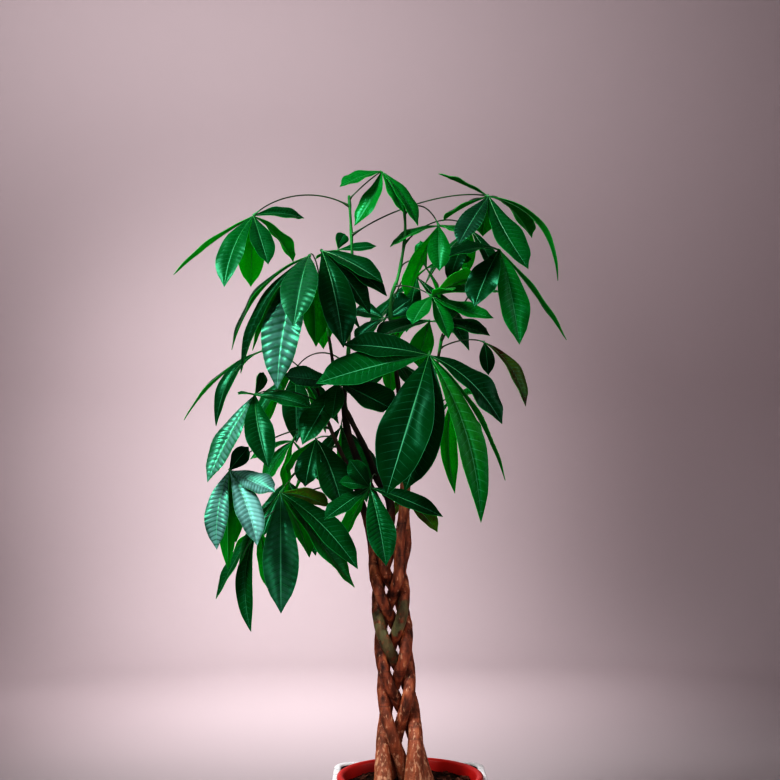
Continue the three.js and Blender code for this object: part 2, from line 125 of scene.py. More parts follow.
STEMS = [
    StemPlan(4, 11, [
        (-50, 16, 490), (-60, 10, 530), (-73, 0, 571), (-88, -10, 603), (-102, -15, 635),
        (-117, -18, 679), (-124, -18, 700)]),
    StemPlan(1, 11, [
        (-14, -9, 486), (-8, -3, 537), (-8, 8, 598), (-12, 10, 664), (-21, 5, 742), (-25, 0, 808),
        (-16, 0, 835), (-8, 0, 877), (-6, 0, 906), (-9, 0, 940)], painted_shade_from=560),
    StemPlan(2, 10, [
        (-5, 13, 482), (-6, 20, 520), (-4, 26, 560), (6, 34, 610), (20, 38, 660), (34, 36, 710),
        (44, 28, 765)], taper=1.4, mossy=(370, 418), painted_shade_from=585),
    StemPlan(0, 15, [
        (-24, 18, 490), (-38, 22, 530), (-58, 20, 572), (-74, 14, 610), (-84, 8, 645), (-86, 2, 677),
        (-81, -3, 729), (-79, -3, 782), (-76, 0, 834), (-76, 0, 871), (-79, 0, 932), (-80, 0, 945)],
        mossy=(332, 404)),
    StemPlan(3, 13, [
        (-34, -8, 487), (-25, -2, 520), (-28, 2, 546), (-42, 2, 571), (-58, -4, 611), (-79, -14, 653),
        (-94, -12, 683), (-103, -5, 740), (-112, 5, 790), (-118, 10, 835)]),
]


class Tone(Enum):
    """How ripe a leaf is, which sets its colour: 0 is the darkest green, 1 is olive. The dark tone is
    partly painted shade, given to leaves that lie in shadow, and the fresh tone partly painted light
    shining through leaves lit from behind.
    """

    DARK = 0.08
    DEEP = 0.3
    FRESH = 0.64
    OLIVE = 1.0


@dataclass(frozen=True)
class Blade:
    """One leaflet, as seen from its hub.

    Fields:
        across, up, depth: the tip's offset.
        width: the full width.
        face: how far its upper side turns to the viewer.
        bow: how far its rib bows up, as a share of its length.
        sway: how far its rib bends sideways, as a share of its length.
        tone: its own colour, or the leaf's.
        quilt: how deep the hollows between its veins are; 1 is full.
        sheen: how much pale reflected light is painted between its veins as a painted sheen, and how
            glossy it is; 1 is full, below 0 is matt.
    """

    across: float
    up: float
    depth: float
    width: float
    face: float = 0.3
    bow: float = 0.12
    sway: float = 0
    tone: Tone | None = None
    quilt: float = 0.3
    sheen: float = 0


def whorl(count: int, length: float, droop: float, start: float) -> list[Blade]:
    """Makes a whorl of even leaflets, for the leaves at the back of the crown.

    Args:
        count: the number of leaflets.
        length: the longest leaflet's length.
        droop: how far they hang below level, in degrees.
        start: the first leaflet's direction, in degrees.

    Returns:
        The leaflets.
    """
    blades = []
    for i in range(count):
        turn = math.radians(start + i * 360 / count)
        share = 0.5 + 0.5 * math.cos(WHORL_WAVE * i + start)
        size = length * (WHORL_SHORTEST + (1 - WHORL_SHORTEST) * share)
        flat = size * math.cos(math.radians(droop))
        down = size * math.sin(math.radians(droop))
        blades.append(Blade(
            flat * math.cos(turn), -down, flat * math.sin(turn), WHORL_WIDTH * size, WHORL_FACE))
    return blades


@dataclass(frozen=True)
class LeafPlan:
    """A compound leaf.

    Fields:
        stem: the number of the stem that it grows on, from 1.
        start: the height at which it leaves the stem.
        hub: where its leaflets meet, as (across, height, depth) in the photograph.
        lift: how far its petiole arches up, as a share of its length.
        blades: its leaflets.
        tone: their colour.
    """

    stem: int
    start: float
    hub: Place
    lift: float
    blades: list[Blade]
    tone: Tone = Tone.DEEP


LEAVES = [
    LeafPlan(4, 930, (-206, 918, -20), 0.22, [
        Blade(-105, -78, 0, 24, 0, 0.08),
        Blade(-38, -94, -60, 36, 0.6, 0.12, -0.08),
        Blade(-3, -94, 45, 34, tone=Tone.FRESH), Blade(20, -64, -60, 30, 0.4, 0.04),
        Blade(53, -61, 50, 38, 0.4, 0.2, tone=Tone.FRESH), Blade(67, -3, 25, 26, 0.9, 0.2)]),
    LeafPlan(4, 940, (-37, 977, -5), 0.05, [
        Blade(-55, -20, -25, 28, 0.9, 0.12), Blade(-36, -72, -20, 30, 0.8, 0.02, 0.16),
        Blade(29, -55, -25, 26, 0.6), Blade(48, -72, -25, 28, 0.5, 0.16)], Tone.FRESH),
    LeafPlan(2, 920, (38, 905, 10), 0.5, [
        Blade(-64, -28, -10, 26, 0.6, 0.16), Blade(-44, -95, 40, 42, 0.4, 0.08, tone=Tone.FRESH),
        Blade(1, -60, -35, 30, 0.6), Blade(36, -14, 60, 28), Blade(40, -18, -30, 22)], Tone.FRESH),
    LeafPlan(4, 892, (104, 944, -25), 0.12, [
        Blade(-66, 30, 0, 22, 0, 0.04), Blade(-40, -64, -55, 34, 0.8, 0.05, quilt=1, sheen=0.04),
        Blade(-8, -53, 70, 34), Blade(-61, -33, 35, 36, 0.5),
        Blade(52, -96, -60, 42, 0.8, 0.02, -0.08, tone=Tone.DEEP),
        Blade(57, -55, 55, 46, 0.5, 0.3, 0.1), Blade(91, -112, 10, 26, 0, 0.46)], Tone.DARK),
    LeafPlan(5, 817, (-94, 873, 25), 0.2, [
        Blade(9, 21, 10, 18, 1, 0, 0.15), Blade(50, 5, 5, 18, 0.9, 0.03), Blade(-30, -12, 20, 16)]),
    LeafPlan(3, 755, (118, 873, -60), 0.02, [
        Blade(-67, -9, -45, 32, 0.7, 0.2), Blade(-33, -75, -40, 42, 0.8, quilt=0.1),
        Blade(26, -125, -30, 40, 1, tone=Tone.FRESH, quilt=0.1), Blade(88, -119, 10, 24, 0, 0.05)],
        Tone.DARK),
    LeafPlan(2, 825, (29, 812, -35), 0.1, [
        Blade(81, -29, -35, 30, 0.9, 0.02, -0.12), Blade(94, 4, 95, 34, 0.5),
        Blade(55, 26, 40, 40, -0.4), Blade(22, -56, -30, 26), Blade(-26, -37, -45, 30),
        Blade(28, 8, -60, 24)], Tone.FRESH),
    LeafPlan(5, 815, (-132, 865, -75), 0.25, [
        Blade(-102, -124, -10, 34, 0.2, 0.3), Blade(-90, -155, -35, 32, 0.3, 0.25),
        Blade(-75, -125, 30, 30), Blade(-42, -176, -60, 50, 0.8, 0.12, -0.08, quilt=0.9, sheen=0.27),
        Blade(-21, -93, -95, 44, 0.7, 0.2, tone=Tone.DEEP, quilt=0.7, sheen=0.05),
        Blade(9, -120, 35, 36)], Tone.DARK),
    LeafPlan(5, 828, (-116, 872, -40), 0.25, [
        Blade(29, -128, -55, 46, 0.7, 0.2), Blade(81, -42, -40, 34, 1.1),
        Blade(86, -60, -20, 34, 1, 0.14), Blade(64, -84, -12, 38, 0.8)], Tone.DARK),
    LeafPlan(5, 655, (-94, 699, -40), 0.2, [
        Blade(-71, 8, -30, 34, 1.2, 0, quilt=0.8, sheen=0.1),
        Blade(72, -36, -20, 56, 1, 0.04, tone=Tone.DARK),
        Blade(-47, -82, -40, 42, 0.8, 0.1, 0.06), Blade(-8, -48, -45, 24)]),
    LeafPlan(1, 668, (-203, 682, -70), 0.15, [
        Blade(-22, 1, -25, 14), Blade(11, 30, 10, 17, 0.6), Blade(73, -16, -20, 26, 1),
        Blade(-62, -114, -40, 36, 0.7, 0.08, quilt=0.8, sheen=0.3),
        Blade(18, -95, -60, 36, 0.9, 0.12, -0.08)]),
    LeafPlan(1, 690, (-194, 740, -5), 0.2, [
        Blade(-102, -91, 0, 26, 0.2, 0.2), Blade(-60, -99, -35, 25, 0.5, 0.42),
        Blade(30, -50, 50, 28)], Tone.DARK),
    LeafPlan(1, 638, (-236, 583, -80), 0.16, [
        Blade(60, -28, -30, 34, 1.3, 0, quilt=1, sheen=0.7),
        Blade(37, -98, -55, 34, 0.8, 0.12, 0.05, quilt=1, sheen=0.8),
        Blade(-16, -103, -35, 30, 0.8, 0.12, -0.1, quilt=1, sheen=0.45), Blade(-24, -88, 30, 24, 0.5),
        Blade(-1, -130, 10, 22), Blade(9, -94, 50, 26), Blade(25, 31, -15, 22, 0.6)], Tone.DARK),
    LeafPlan(1, 615, (-169, 554, -60), 0.15, [
        Blade(1, -157, -45, 44, 0.8, quilt=0.5, sheen=0.08), Blade(-54, -93, -10, 28),
        Blade(101, -99, -40, 42, 0.8, 0.12, 0.06),
        Blade(97, -123, 25, 44, 0.9, 0.05, -0.06, tone=Tone.FRESH),
        Blade(65, -18, 25, 30, -1, 0.2, tone=Tone.OLIVE), Blade(38, -84, 55, 34)]),
    LeafPlan(3, 690, (25, 734, -95), 0.2, [
        Blade(-148, -37, -45, 54, 1.2, 0.08),
        Blade(-56, -184, -60, 64, 2.1, 0.2, 0.05, Tone.DARK, 0.1, -0.2),
        Blade(-32, -178, -12, 60, 1.6, 0.12, 0.16, Tone.DARK, 0.1, -0.2),
        Blade(68, -219, -35, 42, 0.8, 0.18, 0.05, tone=Tone.FRESH),
        Blade(100, -164, 30, 26, 0.2, 0.16), Blade(96, -90, -5, 48, 1.1, 0.2, 0.08, tone=Tone.DARK),
        Blade(-112, 14, -10, 42, 1, 0.1, tone=Tone.DARK)]),
    LeafPlan(5, 575, (-52, 561, -75), 0.15, [
        Blade(-27, 36, -20, 24, 1), Blade(-41, 7, -20, 20, 1), Blade(-60, -42, -40, 30, 0.8, 0.05),
        Blade(21, -102, -40, 36, 0.8, quilt=1.1), Blade(95, -38, -25, 30, 1, 0.08, tone=Tone.DARK),
        Blade(-33, -66, 35, 30)]),
    LeafPlan(3, 540, (-10, 548, 48), 0.1, [
        Blade(46, -45, 25, 28, -0.8, 0.2), Blade(-20, -35, 40, 22)], Tone.OLIVE),
    LeafPlan(3, 745, (98, 751, 30), 0.15, [
        Blade(54, -84, -15, 32, 0.6, 0.3, tone=Tone.OLIVE), Blade(5, -43, -40, 20)], Tone.DARK),
    LeafPlan(2, 755, (26, 779, -20), 0.2, [
        Blade(79, -19, -25, 38, 0.6), Blade(-70, -21, -30, 44, 0.6), Blade(-15, -60, 45, 36)],
        Tone.DARK),
    LeafPlan(1, 625, (-123, 624, -30), 0.15, [
        Blade(35, -90, -35, 48, 0.8, 0.2), Blade(-14, -62, -35, 34, 0.6), Blade(-38, -45, 28, 30),
        Blade(10, -60, 45, 32)], Tone.DARK),
    LeafPlan(1, 560, (-199, 509, 0), 0.2, [
        Blade(-54, -93, -15, 25, 0.5, 0.1), Blade(-8, -136, -10, 24, 0.6, 0.1, -0.16),
        Blade(16, -84, 30, 32), Blade(-25, -40, 40, 26)]),
    LeafPlan(3, 640, (55, 677, 60), 0.2, [
        Blade(4, -124, 20, 24, 0.3, 0.06, 0.12), Blade(40, -60, 30, 30), Blade(-40, -70, -5, 32),
        Blade(60, 10, 40, 28)], Tone.FRESH),
    LeafPlan(2, 770, (-33, 782, 45), 0.2, [
        Blade(-38, -30, 0, 36, 0.8), Blade(-6, -46, 10, 32, 0.7), Blade(35, 26, 0, 34, 0.9),
        Blade(-40, 12, 20, 28, 0.8)], Tone.DARK),
    LeafPlan(2, 850, (22, 849, 78), 0.15, [
        Blade(-8, 36, 0, 22, 0.8), Blade(-29, -34, 20, 30, 0.6), Blade(17, -44, 10, 32, 0.7),
        Blade(60, 12, 0, 30, 0.8)], Tone.FRESH),
    LeafPlan(1, 660, (-153, 622, 20), 0.2, [
        Blade(-36, -52, -10, 34, 0.7), Blade(-6, -70, 10, 32, 0.7), Blade(-56, -24, 10, 26, 0.6),
        Blade(26, -50, 20, 30, 0.7)], Tone.FRESH),
    LeafPlan(5, 790, (-125, 835, 95), 0.2, whorl(5, 125, 48, 10)),
    LeafPlan(2, 790, (10, 836, 140), 0.2, whorl(5, 125, 50, 40)),
    LeafPlan(2, 880, (80, 900, 100), 0.2, whorl(5, 105, 50, 25)),
    LeafPlan(4, 720, (-150, 715, 110), 0.2, whorl(5, 125, 50, 55)),
    LeafPlan(1, 590, (-160, 570, 95), 0.15, whorl(5, 120, 55, 15)),
    LeafPlan(4, 640, (-90, 640, 140), 0.15, whorl(5, 125, 52, 80)),
    LeafPlan(3, 660, (-25, 728, 125), 0.15, whorl(5, 92, 36, 18)),
]


def held(value: float) -> float:
    """Holds a value between 0 and 1."""
    return min(max(value, 0), 1)


class Bench:
    """The few moves that every piece is made with."""

    @staticmethod
    def clear() -> None:
        """Deselects every object and leaves edit mode."""
        if bpy.context.object and bpy.context.object.mode != "OBJECT":
            bpy.ops.object.mode_set(mode="OBJECT")
        bpy.ops.object.select_all(action="DESELECT")

    @staticmethod
    def pick(*pieces: Piece) -> Piece:
        """Selects the pieces alone and makes the first one active.

        Args:
            pieces: the pieces to select.

        Returns:
            The first piece.
        """
        Bench.clear()
        for piece in pieces:
            piece.select_set(True)
        bpy.context.view_layer.objects.active = pieces[0]
        return pieces[0]

    @staticmethod
    def edit_all() -> None:
        """Enters edit mode with the whole of the active piece selected."""
        bpy.ops.object.mode_set(mode="EDIT")
        bpy.ops.mesh.select_all(action="SELECT")

    @staticmethod
    def choose(piece: Piece, kind: str, wanted: Callable[[object], bool]) -> None:
        """Enters edit mode with only the wanted edges or faces selected.

        Args:
            piece: the piece to edit.
            kind: EDGE or FACE.
            wanted: tells whether an edge or a face is to be selected.
        """
        Bench.pick(piece)
        bpy.ops.object.mode_set(mode="EDIT")
        bpy.ops.mesh.select_mode(type=kind)
        bpy.ops.mesh.select_all(action="DESELECT")
        bpy.ops.object.mode_set(mode="OBJECT")
        for part in piece.data.edges if kind == "EDGE" else piece.data.polygons:
            part.select = wanted(part)
        bpy.ops.object.mode_set(mode="EDIT")

    @staticmethod
    def face_out() -> None:
        """Turns all faces of the piece in edit mode outwards and leaves edit mode."""
        bpy.ops.mesh.select_all(action="SELECT")
        bpy.ops.mesh.normals_make_consistent(inside=False)
        bpy.ops.object.mode_set(mode="OBJECT")

    @staticmethod
    def copy(master: Piece) -> Piece:
        """Copies a master with its own mesh."""
        piece = master.copy()
        piece.data = master.data.copy()
        bpy.context.collection.objects.link(piece)
        return piece

    @staticmethod
    def join(pieces: list[Piece]) -> Piece:
        """Joins the pieces into the first one and returns it."""
        first = Bench.pick(*pieces)
        if len(pieces) > 1:
            bpy.ops.object.join()
        return first

    @staticmethod
    def modify(piece: Piece, kind: str, **settings: object) -> None:
        """Adds a modifier with its settings and applies it.

        Args:
            piece: the piece to change.
            kind: the modifier's type.
            settings: the modifier's properties by name.
        """
        Bench.pick(piece)
        modifier = piece.modifiers.new(kind.lower(), kind)
        for name, value in settings.items():
            setattr(modifier, name, value)
        bpy.ops.object.modifier_apply(modifier=modifier.name)

    @staticmethod
    def lathe(name: str, profile: list[Pair], sides: int) -> Piece:
        """Raises a round body from a disc, ring by ring, and closes it at its last ring.

        Args:
            name: the piece's name.
            profile: (radius, height) of each ring in millimetres.
            sides: the number of sides.

        Returns:
            The piece, with its place in its mesh.
        """
        Bench.clear()
        radius, height = profile[0]
        bpy.ops.mesh.primitive_circle_add(
            vertices=sides, radius=radius * MM, fill_type="NGON", location=(0, 0, height * MM))
        piece = bpy.context.object
        piece.name = name
        bpy.ops.object.transform_apply(location=True, rotation=True, scale=True)
        Bench.edit_all()
        for next_radius, next_height in profile[1:]:
            bpy.ops.mesh.extrude_region_move(
                TRANSFORM_OT_translate={"value": (0, 0, (next_height - height) * MM)})
            ratio = next_radius / radius
            bpy.ops.transform.resize(value=(ratio, ratio, 1), center_override=(0, 0, 0))
            radius, height = next_radius, next_height
        Bench.face_out()
        return piece

    @staticmethod
    def rod(points: list[Vector], radii: list[float], sides: int) -> Piece:
        """Makes a round rod with capped ends, as a beveled curve and then a mesh.

        Args:
            points: the points that it runs through.
            radii: its radius at each point.
            sides: the number of sides, a multiple of 4.

        Returns:
            The rod, with its place in its mesh.
        """
        Bench.clear()
        bpy.ops.curve.primitive_nurbs_path_add()
        piece = bpy.context.object
        piece.location = (0, 0, 0)
        piece.data.splines.clear()
        spline = piece.data.splines.new("POLY")
        spline.points.add(len(points) - 1)
        for place, point, radius in zip(spline.points, points, radii):
            place.co = (*(point * MM), 1)
            place.radius = radius
        piece.data.bevel_depth = MM
        piece.data.bevel_resolution = sides // 4 - 1
        piece.data.use_fill_caps = True
        bpy.ops.object.convert(target="MESH")
        return bpy.context.object

    @staticmethod
    def smooth(piece: Piece, angle: float) -> None:
        """Shades a piece smooth below an angle in degrees."""
        Bench.pick(piece)
        bpy.ops.object.shade_smooth_by_angle(angle=math.radians(angle))

    @staticmethod
    def dress(piece: Piece, *materials: Material) -> None:
        """Gives a piece its materials, in the order of their slots."""
        for material in materials:
            piece.data.materials.append(material)

    @staticmethod
    def finish(piece: Piece, name: str, slot: str, *nodes: str) -> None:
        """Names a piece, lets it ride on the body and says which nodes it stands for.

        Args:
            piece: the finished piece.
            name: the piece's name.
            slot: the record's material slot; not used.
            nodes: the nodes that it replaces.
        """
        piece.name = name
        piece.data.name = name
        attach(piece, BODY)
        if nodes:
            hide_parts(*nodes)
        LOG.info("%s: %d faces", name, len(piece.data.polygons))


class Nodes:
    """A small builder of a material's nodes."""

    NOISE_ENDS = (0.3, 0.7)

    def __init__(self, name: str) -> None:
        """Starts a material with its principled shader.

        Args:
            name: the material's name.
        """
        self.material = bpy.data.materials.new(name)
        self.material.use_nodes = True
        self.tree = self.material.node_tree
        self.shader = self.tree.nodes["Principled BSDF"]

    def add(self, kind: str, **settings: object) -> bpy.types.Node:
        """Adds a node with its properties and returns it."""
        node = self.tree.nodes.new(kind)
        for name, value in settings.items():
            setattr(node, name, value)
        return node

    def link(self, source: Socket, target: Socket) -> None:
        """Links one socket to another."""
        self.tree.links.new(source, target)

    def feed(self, target: Socket, source: object) -> None:
        """Links a socket to another one, or sets it to a number or a colour."""
        if isinstance(source, Socket):
            self.link(source, target)
        else:
            target.default_value = (*source, 1) if isinstance(source, tuple) else source

    def noise(self, scale: float, detail: float, stretch: Place = (1, 1, 1)) -> Socket:
        """Adds noise on the object's own coordinates.

        Args:
            scale: the noise's scale, per metre.
            detail: its detail.
            stretch: how the coordinates are scaled on each axis.

        Returns:
            The noise's value socket.
        """
        place = self.add("ShaderNodeTexCoord")
        mapping = self.add("ShaderNodeMapping")
        mapping.inputs["Scale"].default_value = stretch
        texture = self.add("ShaderNodeTexNoise")
        texture.inputs["Scale"].default_value = scale
        texture.inputs["Detail"].default_value = detail
        self.link(place.outputs["Object"], mapping.inputs["Vector"])
        self.link(mapping.outputs["Vector"], texture.inputs["Vector"])
        return texture.outputs["Fac"]

    def ramp(self, value: Socket, stops: Sequence[tuple[float, Colour]]) -> Socket:
        """Turns a value into a colour.

        Args:
            value: the socket to read.
            stops: the position and colour of each stop.

        Returns:
            The colour socket.
        """
        node = self.add("ShaderNodeValToRGB")
        elements = node.color_ramp.elements
        while len(elements) < len(stops):
            elements.new(0.5)
        for element, (position, colour) in zip(elements, stops):
            element.position = position
            element.color = (*colour, 1)
        self.link(value, node.inputs["Fac"])
        return node.outputs["Color"]

    def spread(self, value: Socket, low: float, high: float,
               start: float = 0.0, end: float = 1.0) -> Socket:
        """Maps a value onto another range, held at both ends.

        Args:
            value: the socket to read.
            low, high: the range that it is read in.
            start, end: what low and high become.

        Returns:
            The mapped value's socket.
        """
        node = self.add("ShaderNodeMapRange")
        node.inputs["From Min"].default_value = low
        node.inputs["From Max"].default_value = high
        node.inputs["To Min"].default_value = start
        node.inputs["To Max"].default_value = end
        self.link(value, node.inputs["Value"])
        return node.outputs["Result"]

    def drift(self, scale: float, detail: float, start: float, end: float) -> Socket:
        """Adds a value that drifts from start to end with noise of a scale and a detail."""
        return self.spread(self.noise(scale, detail), *self.NOISE_ENDS, start, end)

    def math(self, operation: str, first: object, second: object = 0) -> Socket:
        """Adds a math node whose inputs are sockets or numbers and returns its value."""
        node = self.add("ShaderNodeMath", operation=operation)
        self.feed(node.inputs[0], first)
        self.feed(node.inputs[1], second)
        return node.outputs["Value"]

    def product(self, *factors: object) -> Socket:
        """Multiplies sockets or numbers one after the other and returns the value."""
        value = factors[0]
        for factor in factors[1:]:
            value = self.math("MULTIPLY", value, factor)
        return value

    def mix(self, factor: Socket, first: object, second: object) -> Socket:
        """Mixes two colours, each a socket or an (r, g, b).

        Args:
            factor: the second colour's share.
            first: the first colour.
            second: the second colour.

        Returns:
            The colour socket.
        """
        node = self.add("ShaderNodeMix", data_type="RGBA")
        self.link(factor, node.inputs["Factor"])
        colours = [socket for socket in node.inputs if socket.type == "RGBA"]
        self.feed(colours[0], first)
        self.feed(colours[1], second)
        return next(socket for socket in node.outputs if socket.type == "RGBA")

    def attribute(self, name: str) -> Socket:
        """Reads one of the piece's own number attributes."""
        return self.add("ShaderNodeAttribute", attribute_name=name).outputs["Fac"]

    def bump(self, height: Socket, strength: float, distance: float) -> None:
        """Drives the shader's normal with a height.

        Args:
            height: the height socket.
            strength: the bump's strength.
            distance: the bump's depth in metres.
        """
        node = self.add("ShaderNodeBump")
        node.inputs["Strength"].default_value = strength
        node.inputs["Distance"].default_value = distance
        self.link(height, node.inputs["Height"])
        self.link(node.outputs["Normal"], self.shader.inputs["Normal"])

    def drive(self, name: str, source: Socket) -> None:
        """Links one of the shader's sockets, by its name."""
        self.link(source, self.shader.inputs[name])

    def set(self, **values: object) -> None:
        """Sets the shader's own sockets; an underscore in a name stands for a space."""
        for name, value in values.items():
            self.shader.inputs[name.replace("_", " ")].default_value = value


@dataclass(frozen=True)
class LeafFinish:
    """The skin of a leaflet: a colour for each tone, a pale rib, faint veins, a gloss, and on some
    leaflets a painted sheen, pale reflected light painted between the veins.

    Fields:
        name: the material's name.
        dark, deep, fresh, olive: the colour at each tone.
        vein: the rib's and the veins' colour.
        spot: the colour of an olive leaf's spots.
        painted_sheen_colour: the colour of the painted sheen, the pale reflected light painted on a
            leaflet with a sheen.
        vein_share: how clear the side veins are; 1 is full.
        rib_share: how clear the rib is; 1 is full.
        roughness: how rough the skin is on the whole.
        gloss: the shader's specular level on a leaflet that isn't matt.
        glow: how far light spreads inside the leaf.
        painted_sheen_vein: the rib's and the veins' colour on a leaflet with a full sheen, paled by the
            painted sheen.
        matt: the sheen at which a leaflet has only the matt share of the gloss.
        matt_share: that share.
    """

    name: str
    dark: Colour
    deep: Colour
    fresh: Colour
    olive: Colour
    vein: Colour
    spot: Colour
    painted_sheen_colour: Colour
    vein_share: float
    rib_share: float
    roughness: float
    gloss: float
    glow: float
    painted_sheen_vein: Colour = (0.45, 0.85, 0.78)
    matt: float = -0.2
    matt_share: float = 0.1

    def build(self) -> Material:
        """Builds the material and returns it."""
        nodes = Nodes(self.name)
        tone = nodes.attribute("tone")
        sheen = nodes.attribute("sheen")
        across, from_vein = self.place(nodes)
        flesh = self.flesh(nodes, tone)
        # Pale reflected light, a painted sheen, is mixed into the colour between the veins.
        with_painted_sheen = nodes.mix(self.painted_sheen(nodes, across, from_vein, sheen), flesh, self.painted_sheen_colour)
        # Under a full sheen the veins are painted pale too, as part of the painted sheen.
        vein = nodes.mix(nodes.spread(sheen, 0.5, 1), self.vein, self.painted_sheen_vein)
        lines = self.lines(nodes, across, from_vein, tone)
        nodes.drive("Base Color", nodes.mix(lines, with_painted_sheen, vein))
        nodes.drive("Roughness", nodes.drift(60, 3, self.roughness - 0.06, self.roughness + 0.08))
        nodes.drive("Specular IOR Level", nodes.spread(
            sheen, self.matt, 0.3, self.matt_share * self.gloss, self.gloss))
        nodes.bump(nodes.noise(700, 2), 0.25, 0.0004)
        nodes.set(Specular_Tint=(0.12, 0.9, 0.5, 1), Subsurface_Weight=self.glow,
                  Subsurface_Scale=0.004, Subsurface_Radius=(0.1, 1.0, 0.15))
        return nodes.material

    @staticmethod
    def place(nodes: Nodes) -> tuple[Socket, Socket]:
        """Reads how far from the rib (0 to 0.5) and from the nearest side vein (0 to 0.5) a point is."""
        coordinates = nodes.add("ShaderNodeTexCoord")
        split = nodes.add("ShaderNodeSeparateXYZ")
        nodes.link(coordinates.outputs["UV"], split.inputs["Vector"])
        across = nodes.math("ABSOLUTE", nodes.math("SUBTRACT", split.outputs["X"], 0.5))
        row = nodes.math("FRACT", nodes.product(split.outputs["Y"], VEINS))
        from_middle = nodes.math("ABSOLUTE", nodes.math("SUBTRACT", row, 0.5))
        return across, nodes.math("SUBTRACT", 0.5, from_middle)

    def flesh(self, nodes: Nodes, tone: Socket) -> Socket:
        """Gives the colour between the veins: by its tone, mottled, and spotted where it is olive.

        Args:
            nodes: the material's nodes.
            tone: the leaflet's tone.

        Returns:
            The colour socket.
        """
        shade = nodes.math("ADD", tone, nodes.drift(11, 3, -0.09, 0.09))
        colour = nodes.ramp(shade, [
            (0.05, self.dark), (0.35, self.deep), (0.68, self.fresh), (1.0, self.olive)])
        spots = nodes.product(
            nodes.spread(nodes.noise(38, 4), 0.5, 0.62), nodes.spread(tone, 0.75, 0.95))
        colour = nodes.mix(spots, colour, self.spot)
        return nodes.mix(nodes.spread(nodes.noise(420, 3), 0.35, 0.65, 0, 0.3), colour, self.dark)

    @staticmethod
    def painted_sheen(nodes: Nodes, across: Socket, from_vein: Socket, sheen: Socket) -> Socket:
        """Gives how much painted sheen, pale reflected light painted into the colour, lies on the
        swellings between the veins.

        Args:
            nodes: the material's nodes.
            across: the distance from the rib.
            from_vein: the distance from the nearest vein.
            sheen: the leaflet's sheen.

        Returns:
            The share socket.
        """
        pillow = nodes.math("MAXIMUM", nodes.spread(from_vein, 0, 0.25, 0.2, 1),
                            nodes.spread(sheen, 0.4, 0.9, 0, 0.85))
        patch = nodes.spread(nodes.noise(30, 3), 0.3, 0.6, 0.3, 1)
        return nodes.product(pillow, nodes.spread(across, 0.35, 0.5, 1, 0.3), patch, sheen)

    def lines(self, nodes: Nodes, across: Socket, from_vein: Socket, tone: Socket) -> Socket:
        """Gives where the rib, the side veins and the pale margin show.

        Args:
            nodes: the material's nodes.
            across: the distance from the rib.
            from_vein: the distance from the nearest vein.
            tone: the leaflet's tone.

        Returns:
            The share socket.
        """
        veins = nodes.product(
            nodes.spread(from_vein, 0.01, 0.06, 1, 0), nodes.spread(across, 0.22, 0.46, 1, 0),
            nodes.spread(tone, 0.1, 0.6, 0.35 * self.vein_share, self.vein_share))
        rib = nodes.spread(across, 0.008, 0.024, self.rib_share, 0)
        margin = nodes.spread(across, 0.485, 0.499, 0, 0.35)
        return nodes.math("MAXIMUM", nodes.math("MAXIMUM", veins, rib), margin)


@dataclass(frozen=True)
class StalkFinish:
    """The skin of petioles and ribs, pale and smooth."""

    name: str
    pale: Colour
    deep: Colour

    def build(self) -> Material:
        """Builds the material and returns it."""
        nodes = Nodes(self.name)
        nodes.drive("Base Color", nodes.ramp(nodes.noise(30, 3), [(0.35, self.deep), (0.65, self.pale)]))
        nodes.bump(nodes.noise(900, 2), 0.2, 0.0003)
        nodes.set(Roughness=0.38, Subsurface_Weight=0.15, Subsurface_Scale=0.003)
        return nodes.material


